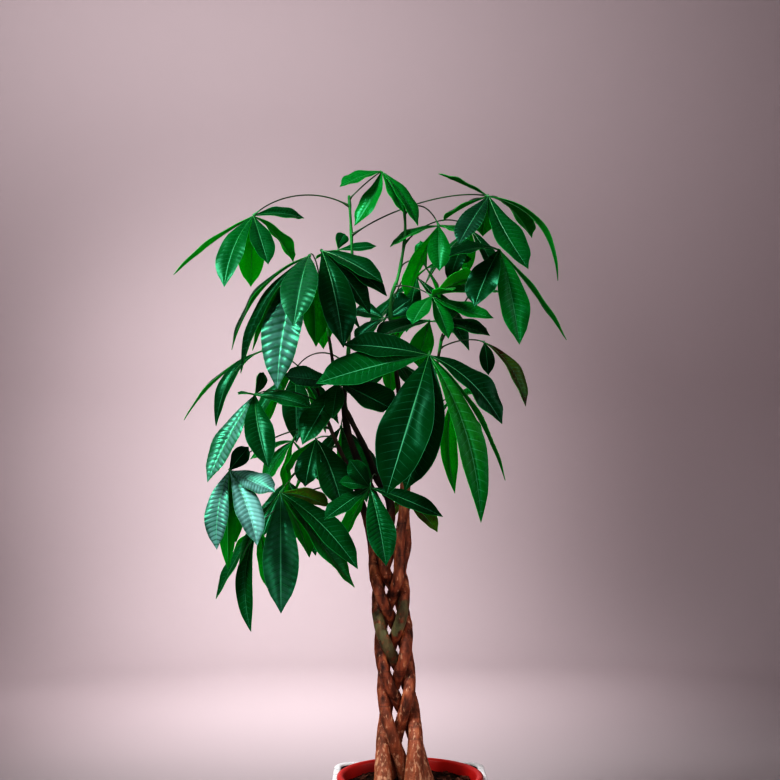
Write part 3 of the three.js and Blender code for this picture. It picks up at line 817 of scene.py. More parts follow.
@dataclass(frozen=True)
class BarkFinish:
    """Red-brown bark, flaky at the foot and smooth green above, with near-black painted shade on the
    branches inside the crown, by the piece's own attributes.

    Fields:
        name: the material's name.
        browns: the bark's colours from its cracks to its ridges, each with its place.
        scar: the colour of the dark scars.
        foot: the paler brown near the soil.
        flake: the colour of the loose flakes.
        mosses: the two colours of the moss, each with its place.
        crown_painted_shade: the near-black painted shade on the branches inside the crown, where the
            leaves shade them.
        greens: the two colours of young bark, each with its place.
    """

    name: str = "money_tree_bark"
    browns: tuple[tuple[float, Colour], ...] = (
        (0.30, (0.025, 0.006, 0.004)), (0.42, (0.13, 0.03, 0.014)), (0.56, (0.32, 0.08, 0.035)),
        (0.72, (0.58, 0.22, 0.10)))
    scar: Colour = (0.02, 0.006, 0.004)
    foot: Colour = (0.46, 0.17, 0.085)
    flake: Colour = (0.76, 0.46, 0.29)
    mosses: tuple[tuple[float, Colour], ...] = (
        (0.35, (0.05, 0.045, 0.018)), (0.65, (0.20, 0.21, 0.10)))
    crown_painted_shade: Colour = (0.006, 0.004, 0.003)
    greens: tuple[tuple[float, Colour], ...] = (
        (0.35, (0.001, 0.09, 0.012)), (0.65, (0.006, 0.28, 0.035)))

    def build(self) -> Material:
        """Builds the material and returns it."""
        nodes = Nodes(self.name)
        streak = nodes.noise(120, 7, (1, 1, 0.3))
        flaked = self.dry(nodes, streak)
        moss = nodes.ramp(nodes.noise(90, 6, (1, 1, 0.4)), self.mosses)
        patchy = nodes.math("ADD", nodes.attribute("moss"), nodes.drift(110, 5, -0.6, 0.6))
        mossed = nodes.mix(nodes.spread(patchy, 0.5, 0.9, 0, 0.8), flaked, moss)
        # Painted shade: the branches inside the crown are darkened towards black, where the leaves shade
        # them.
        shaded = nodes.mix(nodes.product(nodes.attribute("dark"), 0.9), mossed, self.crown_painted_shade)
        green = nodes.ramp(nodes.noise(45, 4, (1, 1, 0.3)), self.greens)
        young = nodes.math("ADD", nodes.attribute("green"), nodes.drift(60, 5, -0.3, 0.3))
        nodes.drive("Base Color", nodes.mix(nodes.spread(young, 0.35, 0.65), shaded, green))
        nodes.drive("Roughness", nodes.spread(streak, *nodes.NOISE_ENDS, 0.75, 0.42))
        relief = nodes.math("ADD", streak, nodes.product(nodes.noise(500, 4), 0.4))
        nodes.bump(relief, 1.0, 0.003)
        nodes.set(Specular_IOR_Level=0.45)
        return nodes.material

    def dry(self, nodes: Nodes, streak: Socket) -> Socket:
        """Gives the brown bark's colour with its scars, and its flakes near the soil.

        Args:
            nodes: the material's nodes.
            streak: the noise that runs along the stem.

        Returns:
            The colour socket.
        """
        scarred = nodes.spread(nodes.noise(70, 3, (0.4, 0.4, 3.2)), 0.60, 0.66, 0, 0.4)
        brown = nodes.mix(scarred, nodes.ramp(streak, self.browns), self.scar)
        near = nodes.attribute("foot")
        loose = nodes.math("ADD", nodes.noise(270, 6, (1, 1, 0.35)), nodes.product(near, 0.14))
        brown = nodes.mix(nodes.product(near, 0.5), brown, self.foot)
        return nodes.mix(nodes.product(nodes.spread(loose, 0.62, 0.70), 0.6), brown, self.flake)


@dataclass(frozen=True)
class CastFinish:
    """A moulded or glazed wall: one colour with faint clouds, dust and a fine grain."""

    name: str
    colour: Colour
    cloud: Colour
    roughness: float
    coat: float = 0
    grain: float = 300

    def build(self) -> Material:
        """Builds the material and returns it."""
        nodes = Nodes(self.name)
        clouds = nodes.spread(nodes.noise(14, 5), 0.35, 0.7)
        nodes.drive("Base Color", nodes.mix(clouds, self.colour, self.cloud))
        nodes.drive("Roughness", nodes.drift(55, 4, self.roughness - 0.05, self.roughness + 0.1))
        nodes.bump(nodes.noise(self.grain, 3), 0.15, 0.0004)
        nodes.set(Coat_Weight=self.coat, Coat_Roughness=0.15)
        return nodes.material


@dataclass(frozen=True)
class CrumbFinish:
    """Loose dry matter, soil or bark chips: its colours, each with its place, and its grains' scale."""

    name: str
    stops: tuple[tuple[float, Colour], ...]
    scale: float

    def build(self) -> Material:
        """Builds the material and returns it."""
        nodes = Nodes(self.name)
        grains = nodes.noise(self.scale, 8)
        nodes.drive("Base Color", nodes.ramp(grains, self.stops))
        nodes.bump(grains, 1.0, 0.004)
        nodes.set(Roughness=0.92, Specular_IOR_Level=0.2)
        return nodes.material


@dataclass(frozen=True)
class StageFinish:
    """The plain matt floor and wall."""

    name: str
    colour: Colour

    def build(self) -> Material:
        """Builds the material and returns it."""
        nodes = Nodes(self.name)
        nodes.set(Base_Color=(*self.colour, 1), Roughness=0.9, Specular_IOR_Level=0.1)
        return nodes.material


GLAZE = CastFinish("white_glaze", (0.82, 0.80, 0.81), (0.74, 0.70, 0.72), roughness=0.28, coat=0.3)
# Painted shade: a near-black material put on the cover pot's inner wall and floor, where its inside lies
# in shade.
PAINTED_SHADE_INSIDE = CastFinish("cover_inside_painted_shade", (0.030, 0.026, 0.028), (0.018, 0.016, 0.017), roughness=0.7)
CLAY = CastFinish(
    "terracotta_plastic", (0.52, 0.020, 0.014), (0.34, 0.010, 0.009), roughness=0.42, grain=900)
EARTH = CrumbFinish("potting_soil", (
    (0.3, (0.003, 0.0015, 0.001)), (0.5, (0.016, 0.007, 0.004)), (0.7, (0.06, 0.027, 0.016))), 260)
CHIPS = CrumbFinish("bark_chips", (
    (0.3, (0.02, 0.007, 0.005)), (0.55, (0.09, 0.03, 0.018)), (0.75, (0.26, 0.13, 0.09))), 180)
# On each skin the sheen colour is painted reflected light, not the leaf's own colour.
LEAF_UPPER = LeafFinish(
    "leaf_upper", dark=(0.0003, 0.028, 0.0065), deep=(0.0005, 0.085, 0.016),
    fresh=(0.001, 0.19, 0.02), olive=(0.06, 0.09, 0.01), vein=(0.11, 0.44, 0.25),
    spot=(0.05, 0.014, 0.005), painted_sheen_colour=(0.28, 0.60, 0.57), vein_share=0.4, rib_share=0.8,
    roughness=0.29, gloss=0.6, glow=0)
# The under skin's greens are partly its own paler colour and partly painted light, brightened to stand
# in for light shining through the leaf.
LEAF_UNDER = LeafFinish(
    "leaf_under", dark=(0.0008, 0.15, 0.014), deep=(0.001, 0.24, 0.018),
    fresh=(0.002, 0.36, 0.022), olive=(0.14, 0.15, 0.02), vein=(0.03, 0.40, 0.08),
    spot=(0.08, 0.03, 0.01), painted_sheen_colour=(0.05, 0.4, 0.1), vein_share=0.12, rib_share=0.7,
    roughness=0.5, gloss=0.15, glow=0.6)
STALK = StalkFinish("leaf_stalk", pale=(0.02, 0.09, 0.02), deep=(0.008, 0.025, 0.008))
RIB = StalkFinish("leaf_rib", pale=(0.06, 0.34, 0.10), deep=(0.03, 0.22, 0.06))


def fade(height: float, reach: float) -> float:
    """Gives how far a foot's swelling is left at a height above the soil, from 1 to 0."""
    return (1 - held((height - SOIL_TOP) / reach)) ** 2


@dataclass
class Trunk:
    """One plaited strand and the branch that it grows on as.

    Fields:
        plan: the stem's plan.
        sides: the number of sides of its tube.
        steps: the number of rings between two of its points.
    """

    plan: StemPlan
    sides: int = 24
    steps: int = 7

    # The plait, from its foot to where the branches part
    strands: int = 5
    pitch: float = 262
    start: float = 402
    plait_top: float = 455
    swing: float = 18
    depth: float = 14.6
    plait_step: float = 12
    foot_across: float = -8
    lean: float = -20
    root_depth: float = 70
    foot_spread: float = 12
    foot_spread_height: float = 150
    foot_slack: float = 50
    foot_slack_height: float = 120

    # Its radii: swollen at the foot, thicker where a petiole leaves it and thin at its end
    plait_radius: float = 7.7
    tip_radius: float = 1.7
    swell_height: float = 120
    node_reach: float = 6
    node_swell: float = 0.22
    tip_share: float = 0.6

    # The heights at which its bark changes, and over what length; from one of them painted shade darkens
    # it
    green_from: float = 690
    green_reach: float = 120
    painted_shade_reach: float = 40
    flake_height: float = 190
    moss_edge: float = 12

    # The bark's lumps: their size, how far they run up the trunk, and how flat they are higher up
    lump_size: float = 9
    lump_stretch: float = 0.35
    lump_shift: float = 31
    fine_lumps: float = 3.1
    smooth_from: float = 560
    smooth_share: float = 0.35

    # The rings that old leaves left, fainter in the plait
    ring_height: float = 0.35
    ring_spacing: float = 5.3
    rings_from: float = 480
    ring_share: float = 0.4

    path: list[Vector] = field(default_factory=list)

    def __post_init__(self) -> None:
        """Works out the path."""
        self.path = self.curve(self.points())

    def plait_point(self, height: float) -> Vector:
        """Gives the strand's centre in the plait at a height."""
        slack = self.foot_slack * fade(height, self.foot_slack_height)
        share = (self.start - height - slack) / self.pitch - self.plan.place / self.strands
        turn = 2 * math.pi * share
        spread = self.foot_spread * fade(height, self.foot_spread_height)
        climbed = held((height - SOIL_TOP) / (self.plait_top - SOIL_TOP))
        middle = self.foot_across + self.lean * climbed
        return Vector((middle - (self.swing + spread) * math.cos(turn),
                       -(self.depth + spread) * math.sin(2 * turn), height))

    def points(self) -> list[Vector]:
        """Gives the points that the stem grows through."""
        foot = self.plait_point(SOIL_TOP)
        points = [Vector((foot.x, foot.y, SOIL_TOP - self.root_depth)),
                  Vector((foot.x, foot.y, SOIL_TOP - self.root_depth / 2))]
        height = SOIL_TOP
        while height <= self.plait_top:
            points.append(self.plait_point(height))
            height += self.plait_step
        points += [Vector(point) for point in self.plan.branch]
        return points

    def curve(self, points: list[Vector]) -> list[Vector]:
        """Rounds the points off with a centripetal curve through them.

        Args:
            points: the points to pass through.

        Returns:
            The curve's points, with even steps between each two.
        """
        ends = [2 * points[0] - points[1], *points, 2 * points[-1] - points[-2]]
        smooth = []
        for before, start, end, after in zip(ends, ends[1:], ends[2:], ends[3:]):
            gaps = [(b - a).length ** 0.5 for a, b in ((before, start), (start, end), (end, after))]
            leave = ((start - before) / gaps[0] - (end - before) / (gaps[0] + gaps[1])
                     + (end - start) / gaps[1]) * gaps[1]
            reach = ((end - start) / gaps[1] - (after - start) / (gaps[1] + gaps[2])
                     + (after - end) / gaps[2]) * gaps[1]
            for step in range(self.steps):
                t = step / self.steps
                smooth.append((2 * t ** 3 - 3 * t ** 2 + 1) * start + (t ** 3 - 2 * t ** 2 + t) * leave
                              + (3 * t ** 2 - 2 * t ** 3) * end + (t ** 3 - t ** 2) * reach)
        smooth.append(points[-1].copy())
        return smooth

    def at(self, height: float) -> Vector:
        """Gives the point on the stem at a height."""
        for low, high in zip(self.path, self.path[1:]):
            if high.z >= height:
                return low.lerp(high, (height - low.z) / (high.z - low.z))
        return self.path[-1].copy()

    def radius(self, height: float) -> float:
        """Gives the stem's radius at a height: swollen at the foot, thin at the tip."""
        tip = self.path[-1].z
        swollen = (self.plan.foot_radius - self.plait_radius) * fade(height, self.swell_height)
        kept = (1 - held((height - self.plait_top) / (tip - self.plait_top))) ** self.plan.taper
        return self.tip_radius + swollen + (self.plait_radius - self.tip_radius) * kept

    def shares(self, height: float) -> dict[str, float]:
        """Gives how green, mossy, darkened by painted shade and flaky the bark is at a height, each from
        0 to 1.

        Args:
            height: the height.

        Returns:
            The share by the attribute's name.
        """
        low, high = self.plan.mossy
        inside = min(height - low, high - height)
        return {"green": held((height - self.green_from) / self.green_reach),
                "moss": held(0.5 + inside / self.moss_edge),
                # The dark share is painted shade, from the height where the crown shades the stem.
                "dark": held((height - self.plan.painted_shade_from) / self.painted_shade_reach),
                "foot": fade(height, self.flake_height)}

    def lumps(self, point: Vector) -> float:
        """Gives how far the bark stands out at a point of the surface, in millimetres.

        Args:
            point: the point.

        Returns:
            The height of its lumps and of its rings together.
        """
        seat = Vector((point.x, point.y, point.z * self.lump_stretch)) / self.lump_size
        seat += Vector((self.plan.place * self.lump_shift, 0, 0))
        rough = noise.noise(seat) * 0.7 + noise.noise(seat * self.fine_lumps) * 0.3
        ring = self.ring_height * max(0, math.cos(point.z / self.ring_spacing + self.plan.place)) ** 6
        return (rough * (1 if point.z < self.smooth_from else self.smooth_share)
                + ring * (1 if point.z > self.rings_from else self.ring_share))

    def build(self, nodes: list[float]) -> Piece:
        """Builds the stem as a rod with the bark's relief.

        Args:
            nodes: the heights where petioles leave, where the stem is thicker.

        Returns:
            The stem.
        """
        radii = []
        for point in self.path:
            bulge = sum(math.exp(-((point.z - node) / self.node_reach) ** 2) for node in nodes)
            radii.append(self.radius(point.z) * (1 + self.node_swell * min(bulge, 1)))
        radii[-1] *= self.tip_share
        piece = Bench.rod(self.path, radii, self.sides)
        mesh = piece.data
        attributes = {name: mesh.attributes.new(name, "FLOAT", "POINT") for name in self.shares(0)}
        moved = []
        for vertex in mesh.vertices:
            point = vertex.co / MM
            for name, share in self.shares(point.z).items():
                attributes[name].data[vertex.index].value = share
            moved.append((point + vertex.normal * self.lumps(point)) * MM)
        for vertex, place in zip(mesh.vertices, moved):
            vertex.co = place
        Bench.pick(piece)
        Bench.edit_all()
        bpy.ops.mesh.remove_doubles(threshold=CLOSE)
        Bench.face_out()
        Bench.smooth(piece, 70)
        return piece


@dataclass
class Pots:
    """The square cover pot and the round nursery pot that hangs in it by its rim.

    Fields:
        cover_side, cover_corner: the cover pot's width at its top, and its corners' radius.
        cover_wall, cover_floor: how thick its wall and its floor are.
        cover_foot_scale: its width at its foot as a share of that at its top.
        cover_edge: how wide its edges are rounded off.
        shade_below_edge: how far down from its edge the painted shade inside begins.
        rim_radius: the nursery pot's radius over its rolled rim.
        corner_steps: the faces round each corner of the cover pot.
        pot_sides: the nursery pot's faces round it.
        roll_steps: the faces over its rolled rim.
    """

    cover_side: float = 203
    cover_corner: float = 26
    cover_wall: float = 9.5
    cover_floor: float = 9
    cover_foot_scale: float = 0.9
    cover_edge: float = 2.6
    shade_below_edge: float = 4
    rim_radius: float = 95
    corner_steps: int = 12
    pot_sides: int = 128
    roll_steps: int = 8

    def cover(self) -> Piece:
        """Builds the cover pot from a block: rounded corners, a sunk inside, softened rims."""
        Bench.clear()
        bpy.ops.mesh.primitive_cube_add(size=1, location=(0, 0, COVER_HEIGHT * MM / 2))
        piece = bpy.context.object
        piece.scale = (self.cover_side * MM, self.cover_side * MM, COVER_HEIGHT * MM)
        bpy.ops.object.transform_apply(location=True, rotation=True, scale=True)
        Bench.choose(piece, "EDGE", lambda edge: self.upright(piece, edge))
        bpy.ops.mesh.bevel(offset=self.cover_corner * MM, segments=self.corner_steps, profile=0.5)
        Bench.choose(piece, "FACE", self.on_top)
        bpy.ops.mesh.inset(thickness=self.cover_wall * MM)
        bpy.ops.mesh.extrude_region_move(
            TRANSFORM_OT_translate={"value": (0, 0, (self.cover_floor - COVER_HEIGHT) * MM)})
        bpy.ops.object.mode_set(mode="OBJECT")
        for vertex in piece.data.vertices:
            share = vertex.co.z / (COVER_HEIGHT * MM)
            taper = self.cover_foot_scale + (1 - self.cover_foot_scale) * share
            vertex.co.x *= taper
            vertex.co.y *= taper
        Bench.modify(piece, "BEVEL", width=self.cover_edge * MM, segments=4, limit_method="ANGLE",
                     angle_limit=math.radians(50), harden_normals=False)
        Bench.smooth(piece, 35)
        return piece

    def shade_inside(self, piece: Piece) -> None:
        """Gives the cover pot's inner faces its second material, the near-black painted shade of its
        inside.
        """
        for face in piece.data.polygons:
            inward = face.normal.x * face.center.x + face.normal.y * face.center.y < 0
            on_floor = face.normal.z > LEVEL and face.center.z < 2 * self.cover_floor * MM
            if on_floor or (inward and face.center.z < (COVER_HEIGHT - self.shade_below_edge) * MM):
                face.material_index = 1

    @staticmethod
    def upright(piece: Piece, edge: bpy.types.MeshEdge) -> bool:
        """Tells whether an edge of a piece runs up."""
        low, high = (piece.data.vertices[index].co for index in edge.vertices)
        return abs(low.z - high.z) > CLOSE

    @staticmethod
    def on_top(face: bpy.types.MeshPolygon) -> bool:
        """Tells whether a face is the block's top."""
        return abs(face.center.z - COVER_HEIGHT * MM) < CLOSE and abs(face.normal.z) > LEVEL

    @staticmethod
    def inside(height: float) -> float:
        """Gives the nursery pot's inner radius at a height."""
        along = (height - POT_BASE_HEIGHT) / (POT_RIM_BOTTOM - POT_BASE_HEIGHT)
        return POT_BASE_RADIUS + (POT_NECK_RADIUS - POT_BASE_RADIUS) * along - POT_WALL

    def nursery(self) -> Piece:
        """Builds the nursery pot ring by ring: base, wall, rolled rim, inner wall and floor."""
        rim = POT_RIM_HEIGHT / 2
        centre = self.rim_radius - rim
        middle = POT_RIM_BOTTOM + rim
        roll = []
        for step in range(self.roll_steps + 1):
            angle = math.radians(180 * step / self.roll_steps - 90)
            roll.append((centre + rim * math.cos(angle), middle + rim * math.sin(angle)))
        floor = POT_BASE_HEIGHT + POT_WALL
        profile = [(POT_BASE_RADIUS - 3, POT_BASE_HEIGHT), (POT_BASE_RADIUS, POT_BASE_HEIGHT + 2),
                   (POT_NECK_RADIUS - 1, POT_RIM_BOTTOM - 4), (POT_NECK_RADIUS, POT_RIM_BOTTOM),
                   *roll, (POT_NECK_RADIUS - 0.6, POT_RIM_TOP - 1.2),
                   (POT_NECK_RADIUS - 2, POT_RIM_TOP - 3.4),
                   (POT_NECK_RADIUS - POT_WALL - 0.4, POT_RIM_BOTTOM - 3),
                   (self.inside(floor), floor), (8, floor)]
        piece = Bench.lathe("nursery_pot_shell", profile, self.pot_sides)
        Bench.smooth(piece, 50)
        return piece


def lump(x: float, y: float, layer: float, size: float, height: float) -> float:
    """Gives the height of one layer of the soil's lumps at a place.

    Args:
        x, y: the place.
        layer: the layer's own number.
        size: how wide its lumps are.
        height: how high they are.

    Returns:
        The height, in millimetres.
    """
    return height * noise.noise(Vector((x, y, layer)) / size)


@dataclass
class Ground:
    """The potting soil and the bark chips that lie on it.

    Fields:
        crown: how much higher the soil is in its middle.
        chip_clearance: how far from a trunk's middle the bark chips keep.
        chip_edge: how far from the pot's neck they keep.
        chip_sizes: the length of the smallest and of the largest.
        chip_sink: how far a chip's middle lies above the soil, as a share of its length.
        sides, rings: the soil's faces round it and from its edge to its middle.
        chips: the number of bark chips.
        seed: seeds where they lie.
        chip_seed: seeds their shape.
    """

    crown: float = 4
    chip_clearance: float = 14
    chip_edge: float = 9
    chip_sizes: Pair = (4, 12)
    chip_sink: float = 0.12
    sides: int = 120
    rings: int = 26
    chips: int = 130
    seed: int = 12
    chip_seed: int = 5

    def height(self, x: float, y: float) -> float:
        """Gives the soil's height at a place, in millimetres."""
        middle = self.crown * max(0, 1 - math.hypot(x, y) / (POT_NECK_RADIUS - 4))
        clods = lump(x, y, layer=3, size=16, height=2.2)
        return SOIL_TOP + middle + clods + lump(x, y, layer=9, size=6, height=1.1)

    def soil(self) -> Piece:
        """Builds the soil as a turned plug whose top is raised into crumbs."""
        edge = POT_NECK_RADIUS - POT_WALL - 1
        floor = POT_BASE_HEIGHT + POT_WALL + FIT
        top = [(edge * (1 - step / self.rings) + 1, SOIL_TOP) for step in range(self.rings)]
        profile = [(Pots.inside(floor) - FIT, floor), (edge - 1, SOIL_TOP - 8), *top]
        piece = Bench.lathe("soil_plug", profile, self.sides)
        for vertex in piece.data.vertices:
            point = vertex.co / MM
            if point.z > SOIL_TOP - 1:
                crumb = lump(point.x, point.y, layer=1, size=2.6, height=0.9)
                vertex.co.z = (self.height(point.x, point.y) + crumb) * MM
        Bench.smooth(piece, 60)
        return piece

    def master_chip(self) -> Piece:
        """Models one bark chip: a flat block with a tapered end and broken edges."""
        Bench.clear()
        bpy.ops.mesh.primitive_cube_add(size=1)
        piece = bpy.context.object
        Bench.edit_all()
        bpy.ops.mesh.subdivide(number_cuts=1)
        bpy.ops.transform.resize(value=(1, 0.55, 0.28))
        bpy.ops.object.mode_set(mode="OBJECT")
        draw = random.Random(self.chip_seed)
        for vertex in piece.data.vertices:
            vertex.co.x *= draw.uniform(0.75, 1.25)
            vertex.co.y *= draw.uniform(0.6, 1.2)
            vertex.co.z += draw.uniform(-0.06, 0.06)
        return piece

    def bark(self, feet: list[Vector]) -> Piece:
        """Scatters copies of the chip over the soil, clear of the trunks' feet.

        Args:
            feet: the trunks' centres on the soil.

        Returns:
            The chips, joined.
        """
        master = self.master_chip()
        draw = random.Random(self.seed)
        pieces = []
        while len(pieces) < self.chips:
            away = (POT_NECK_RADIUS - self.chip_edge) * math.sqrt(draw.random())
            turn = draw.uniform(0, 2 * math.pi)
            x, y = away * math.cos(turn), away * math.sin(turn)
            if any(math.hypot(x - foot.x, y - foot.y) < self.chip_clearance for foot in feet):
                continue
            size = draw.uniform(*self.chip_sizes)
            chip = Bench.copy(master)
            turned = Matrix.Identity(4)
            for axis, low, high in (("Z", 0, 6.28), ("X", -0.5, 0.5), ("Y", -0.4, 0.4)):
                turned @= Matrix.Rotation(draw.uniform(low, high), 4, axis)
            place = Matrix.Translation(Vector((x, y, self.height(x, y) + self.chip_sink * size)) * MM)
            chip.data.transform(place @ turned @ Matrix.Scale(size * MM, 4))
            pieces.append(chip)
        bpy.data.objects.remove(master)
        return Bench.join(pieces)


@dataclass
class Leaflets:
    """The two masters that every leaflet is a bent copy of: its blade and its rib.

    Fields:
        rows, columns: the blade's faces along it and across it.
        crowding: how much closer the columns stand near the rib; 1 is even.
        rib_sides, rib_steps: the rib's faces round it and along it.
        swell: how high the blade stands between its veins, as a share of its half width.
        crest: how high each side swells, as a share of the half width.
        groove, slit: how deep and how wide the rib's groove is, as shares of the half width.
        sweep: how far the side veins lean to the tip, as a share of the half width.
        blade, rib: the masters.
    """

    rows: int = 4 * VEINS
    columns: int = 10
    crowding: float = 1.15
    rib_sides: int = 6
    rib_steps: int = 20
    swell: float = 0.06
    crest: float = 0.09
    groove: float = 0.035
    slit: float = 0.09
    sweep: float = 0.55
    blade: Piece | None = None
    rib: Piece | None = None

    def model(self) -> None:
        """Models both masters: the blade as a grid and the rib as a thin rod."""
        Bench.clear()
        bpy.ops.mesh.primitive_grid_add(
            x_subdivisions=self.columns, y_subdivisions=self.rows, size=2, calc_uvs=True)
        self.blade = bpy.context.object
        self.blade.name = "blade_master"
        for vertex in self.blade.data.vertices:
            across, along = vertex.co.x, (vertex.co.y + 1) / 2
            side = abs(across) ** self.crowding
            vertex.co = (math.copysign(side, across), along, self.quilting(side, along))
        for name in ("tone", "sheen"):
            self.blade.data.attributes.new(name, "FLOAT", "POINT")
        Bench.clear()
        bpy.ops.mesh.primitive_cylinder_add(vertices=self.rib_sides, radius=1, depth=1)
        self.rib = bpy.context.object
        self.rib.name = "rib_master"
        bpy.ops.object.mode_set(mode="EDIT")
        for step in range(1, self.rib_steps):
            bpy.ops.mesh.select_all(action="SELECT")
            bpy.ops.mesh.bisect(plane_co=(0, 0, step / self.rib_steps - 0.5), plane_no=(0, 0, 1))
        bpy.ops.object.mode_set(mode="OBJECT")

    @staticmethod
    def quilting(side: float, along: float) -> float:
        """Gives how high the blade swells between its veins, from 0 to 1.

        Args:
            side: how far out from the rib, from 0 to 1.
            along: how far along the blade, from 0 to 1.

        Returns:
            The share of the full swelling.
        """
        between = 0.5 - 0.5 * math.cos(2 * math.pi * VEINS * along)
        spread = math.sin(math.pi * min(side * 0.8 + 0.08, 1)) ** 0.8
        return min(1, 12 * along, 10 * (1 - along)) * between * spread

    def section(self, side: float) -> float:
        """Gives the height of the blade's cross-section: a groove at the rib, then a soft swell."""
        return self.crest * math.sin(math.pi * side) - self.groove * math.exp(-(side / self.slit) ** 2)

    @staticmethod
    def breadth(along: float) -> float:
        """Gives the blade's share of its full width at a place along it: slender base, drawn tip."""
        wave = max(math.sin(math.pi * along ** 1.1), 0)
        return wave ** (1.1 if along < 0.53 else 0.92) + 0.04 * (1 - along)


def square_to(vector: Vector, direction: Vector) -> Vector:
    """Gives the part of a vector that stands square to a direction, at length 1."""
    unit = direction.normalized()
    return (vector - unit * vector.dot(unit)).normalized()


def seen(across: float, up: float, depth: float) -> Vector:
    """Moves a point as seen in the plane of the pot's axis to its depth along the sight line."""
    in_plane = Vector((across, 0, up))
    return EYE + (in_plane - EYE) * ((depth - EYE.y) / -EYE.y)


class Skin(IntEnum):
    """The places of a leaf's materials."""

    UPPER = 0
    UNDER = 1
    STALK = 2
    RIB = 3


@dataclass
class Frond:
    """One compound leaf: petiole, hub and leaflets in one piece.

    Fields:
        plan: the leaf's plan.
        stem: the stem that it grows on.
        masters: the leaflets' masters.
        number: the leaf's number, which seeds its draws.
        outward_lean: how far the blades' upper sides turn away from the hub.
        bow_at, bow_kept: where along a blade its bow is set, and how much of it is kept.
        fold: how far each half folds up from the rib, as a share of its width.
        petiole_bends: where along the petiole its two bends are.
        hub_glow: how far from the hub a petiole has the ribs' colour.
        petiole_radius: the petiole's radius at its foot.
        thickness: the blades' thickness.
        waves: the number of waves along a blade's edge.
        rib_tip, rib_growth: a rib's radius at its tip, and how much thicker it is at its base.
        rib_flat: a rib's width as a share of its height.
        stalk_sides, stalk_steps: the petiole's faces round it and along it.
    """

    plan: LeafPlan
    stem: Trunk
    masters: Leaflets
    number: int
    outward_lean: float = 0.9
    bow_at: float = 0.45
    bow_kept: float = 0.85
    fold: float = 0.18
    petiole_bends: Pair = (0.3, 0.75)
    hub_glow: float = 9
    petiole_radius: float = 0.95
    thickness: float = 0.75
    waves: float = 2.6
    rib_tip: float = 0.35
    rib_growth: float = 0.75
    rib_flat: float = 0.75
    stalk_sides: int = 12
    stalk_steps: int = 24

    def bend(self, blade: Blade, hub: Vector, draw: random.Random) -> list[Piece]:
        """Bends a copy of each master into one leaflet.

        Args:
            blade: the leaflet.
            hub: where it grows from.
            draw: the seeded draw.

        Returns:
            The blade and its rib.
        """
        across, up, depth = self.plan.hub
        tip = seen(across + blade.across, up + blade.up, depth + blade.depth)
        chord = tip - hub
        length = chord.length
        outward = Vector((chord.x, chord.y, 0)).normalized() * self.outward_lean
        upper = Vector((0, -blade.face, 1)) + outward
        lift = square_to(upper, chord)
        rise = blade.bow * self.bow_kept * length
        middle = hub.lerp(tip, self.bow_at) + lift * rise + lift.cross(chord) * blade.sway
        half = blade.width / 2
        swell = self.masters.swell * blade.quilt * draw.uniform(0.7, 1.2)
        wave = draw.uniform(0.04, 0.11)
        phase = draw.uniform(0, 2 * math.pi)
        twist = draw.uniform(-0.12, 0.12)
        hook = draw.uniform(-0.03, 0.03)
        tone = (blade.tone or self.plan.tone).value + draw.uniform(-0.08, 0.08)

        def frame(along: float) -> tuple[Vector, Vector, Vector, Vector]:
            """Gives the rib's point, tangent, upper normal and side at a place along it."""
            point = (1 - along) ** 2 * hub + 2 * along * (1 - along) * middle + along ** 2 * tip
            tangent = (2 * (1 - along) * (middle - hub) + 2 * along * (tip - middle)).normalized()
            normal = square_to(upper, tangent)
            normal = Matrix.Rotation(twist * (along - 0.3), 3, tangent) @ normal
            side = normal.cross(tangent)
            return point + side * (hook * length * along * along * (1 - along)), tangent, normal, side

        piece = Bench.copy(self.masters.blade)
        frames = {}
        for vertex in piece.data.vertices:
            x, along, puff = vertex.co
            if along not in frames:
                frames[along] = frame(along)
            point, tangent, normal, side = frames[along]
            reach = half * self.masters.breadth(along)
            rise = (self.fold * abs(x) + self.masters.section(abs(x)) + swell * puff) * reach
            ripple = math.sin(2 * math.pi * self.waves * along + phase + (1 if x > 0 else 0))
            rise += wave * reach * x * x * ripple
            shift = self.masters.sweep * abs(x) * reach * min(1, 6 * (1 - along))
            vertex.co = (point - side * (x * reach) + normal * rise + tangent * shift) * MM
        for name, share in (("tone", tone), ("sheen", blade.sheen)):
            for value in piece.data.attributes[name].data:
                value.value = share
        rib = Bench.copy(self.masters.rib)
        for vertex in rib.data.vertices:
            along = vertex.co.z + 0.5
            point, tangent, normal, side = frame(along)
            thick = (self.rib_tip + self.rib_growth * (1 - along)) * min(1, 0.6 + length / 300)
            sink = -0.5 * self.thickness - self.masters.groove * half * self.masters.breadth(along)
            over = side * (vertex.co.x * thick * self.rib_flat)
            vertex.co = (point + over + normal * (vertex.co.y * thick + sink)) * MM
        return [piece, rib]

    def stalk(self, hub: Vector) -> Piece:
        """Builds the petiole as a rod that is thicker at both ends.

        Args:
            hub: where the leaflets meet.

        Returns:
            The petiole with its hub.
        """
        start = self.stem.at(self.plan.start)
        span = (hub - start).length
        lift = Vector((0, 0, self.plan.lift * span))
        first, second = (start.lerp(hub, share) + lift for share in self.petiole_bends)
        points, radii = [], []
        for step in range(self.stalk_steps + 1):
            t = step / self.stalk_steps
            points.append((1 - t) ** 3 * start + 3 * t * (1 - t) ** 2 * first
                          + 3 * t * t * (1 - t) * second + t ** 3 * hub)
            ends = 1.3 * math.exp(-(t / 0.06) ** 2) + 1.5 * math.exp(-((1 - t) / 0.035) ** 2)
            radii.append(self.petiole_radius * (1 - 0.15 * t) + ends)
        return Bench.rod(points, radii, self.stalk_sides)

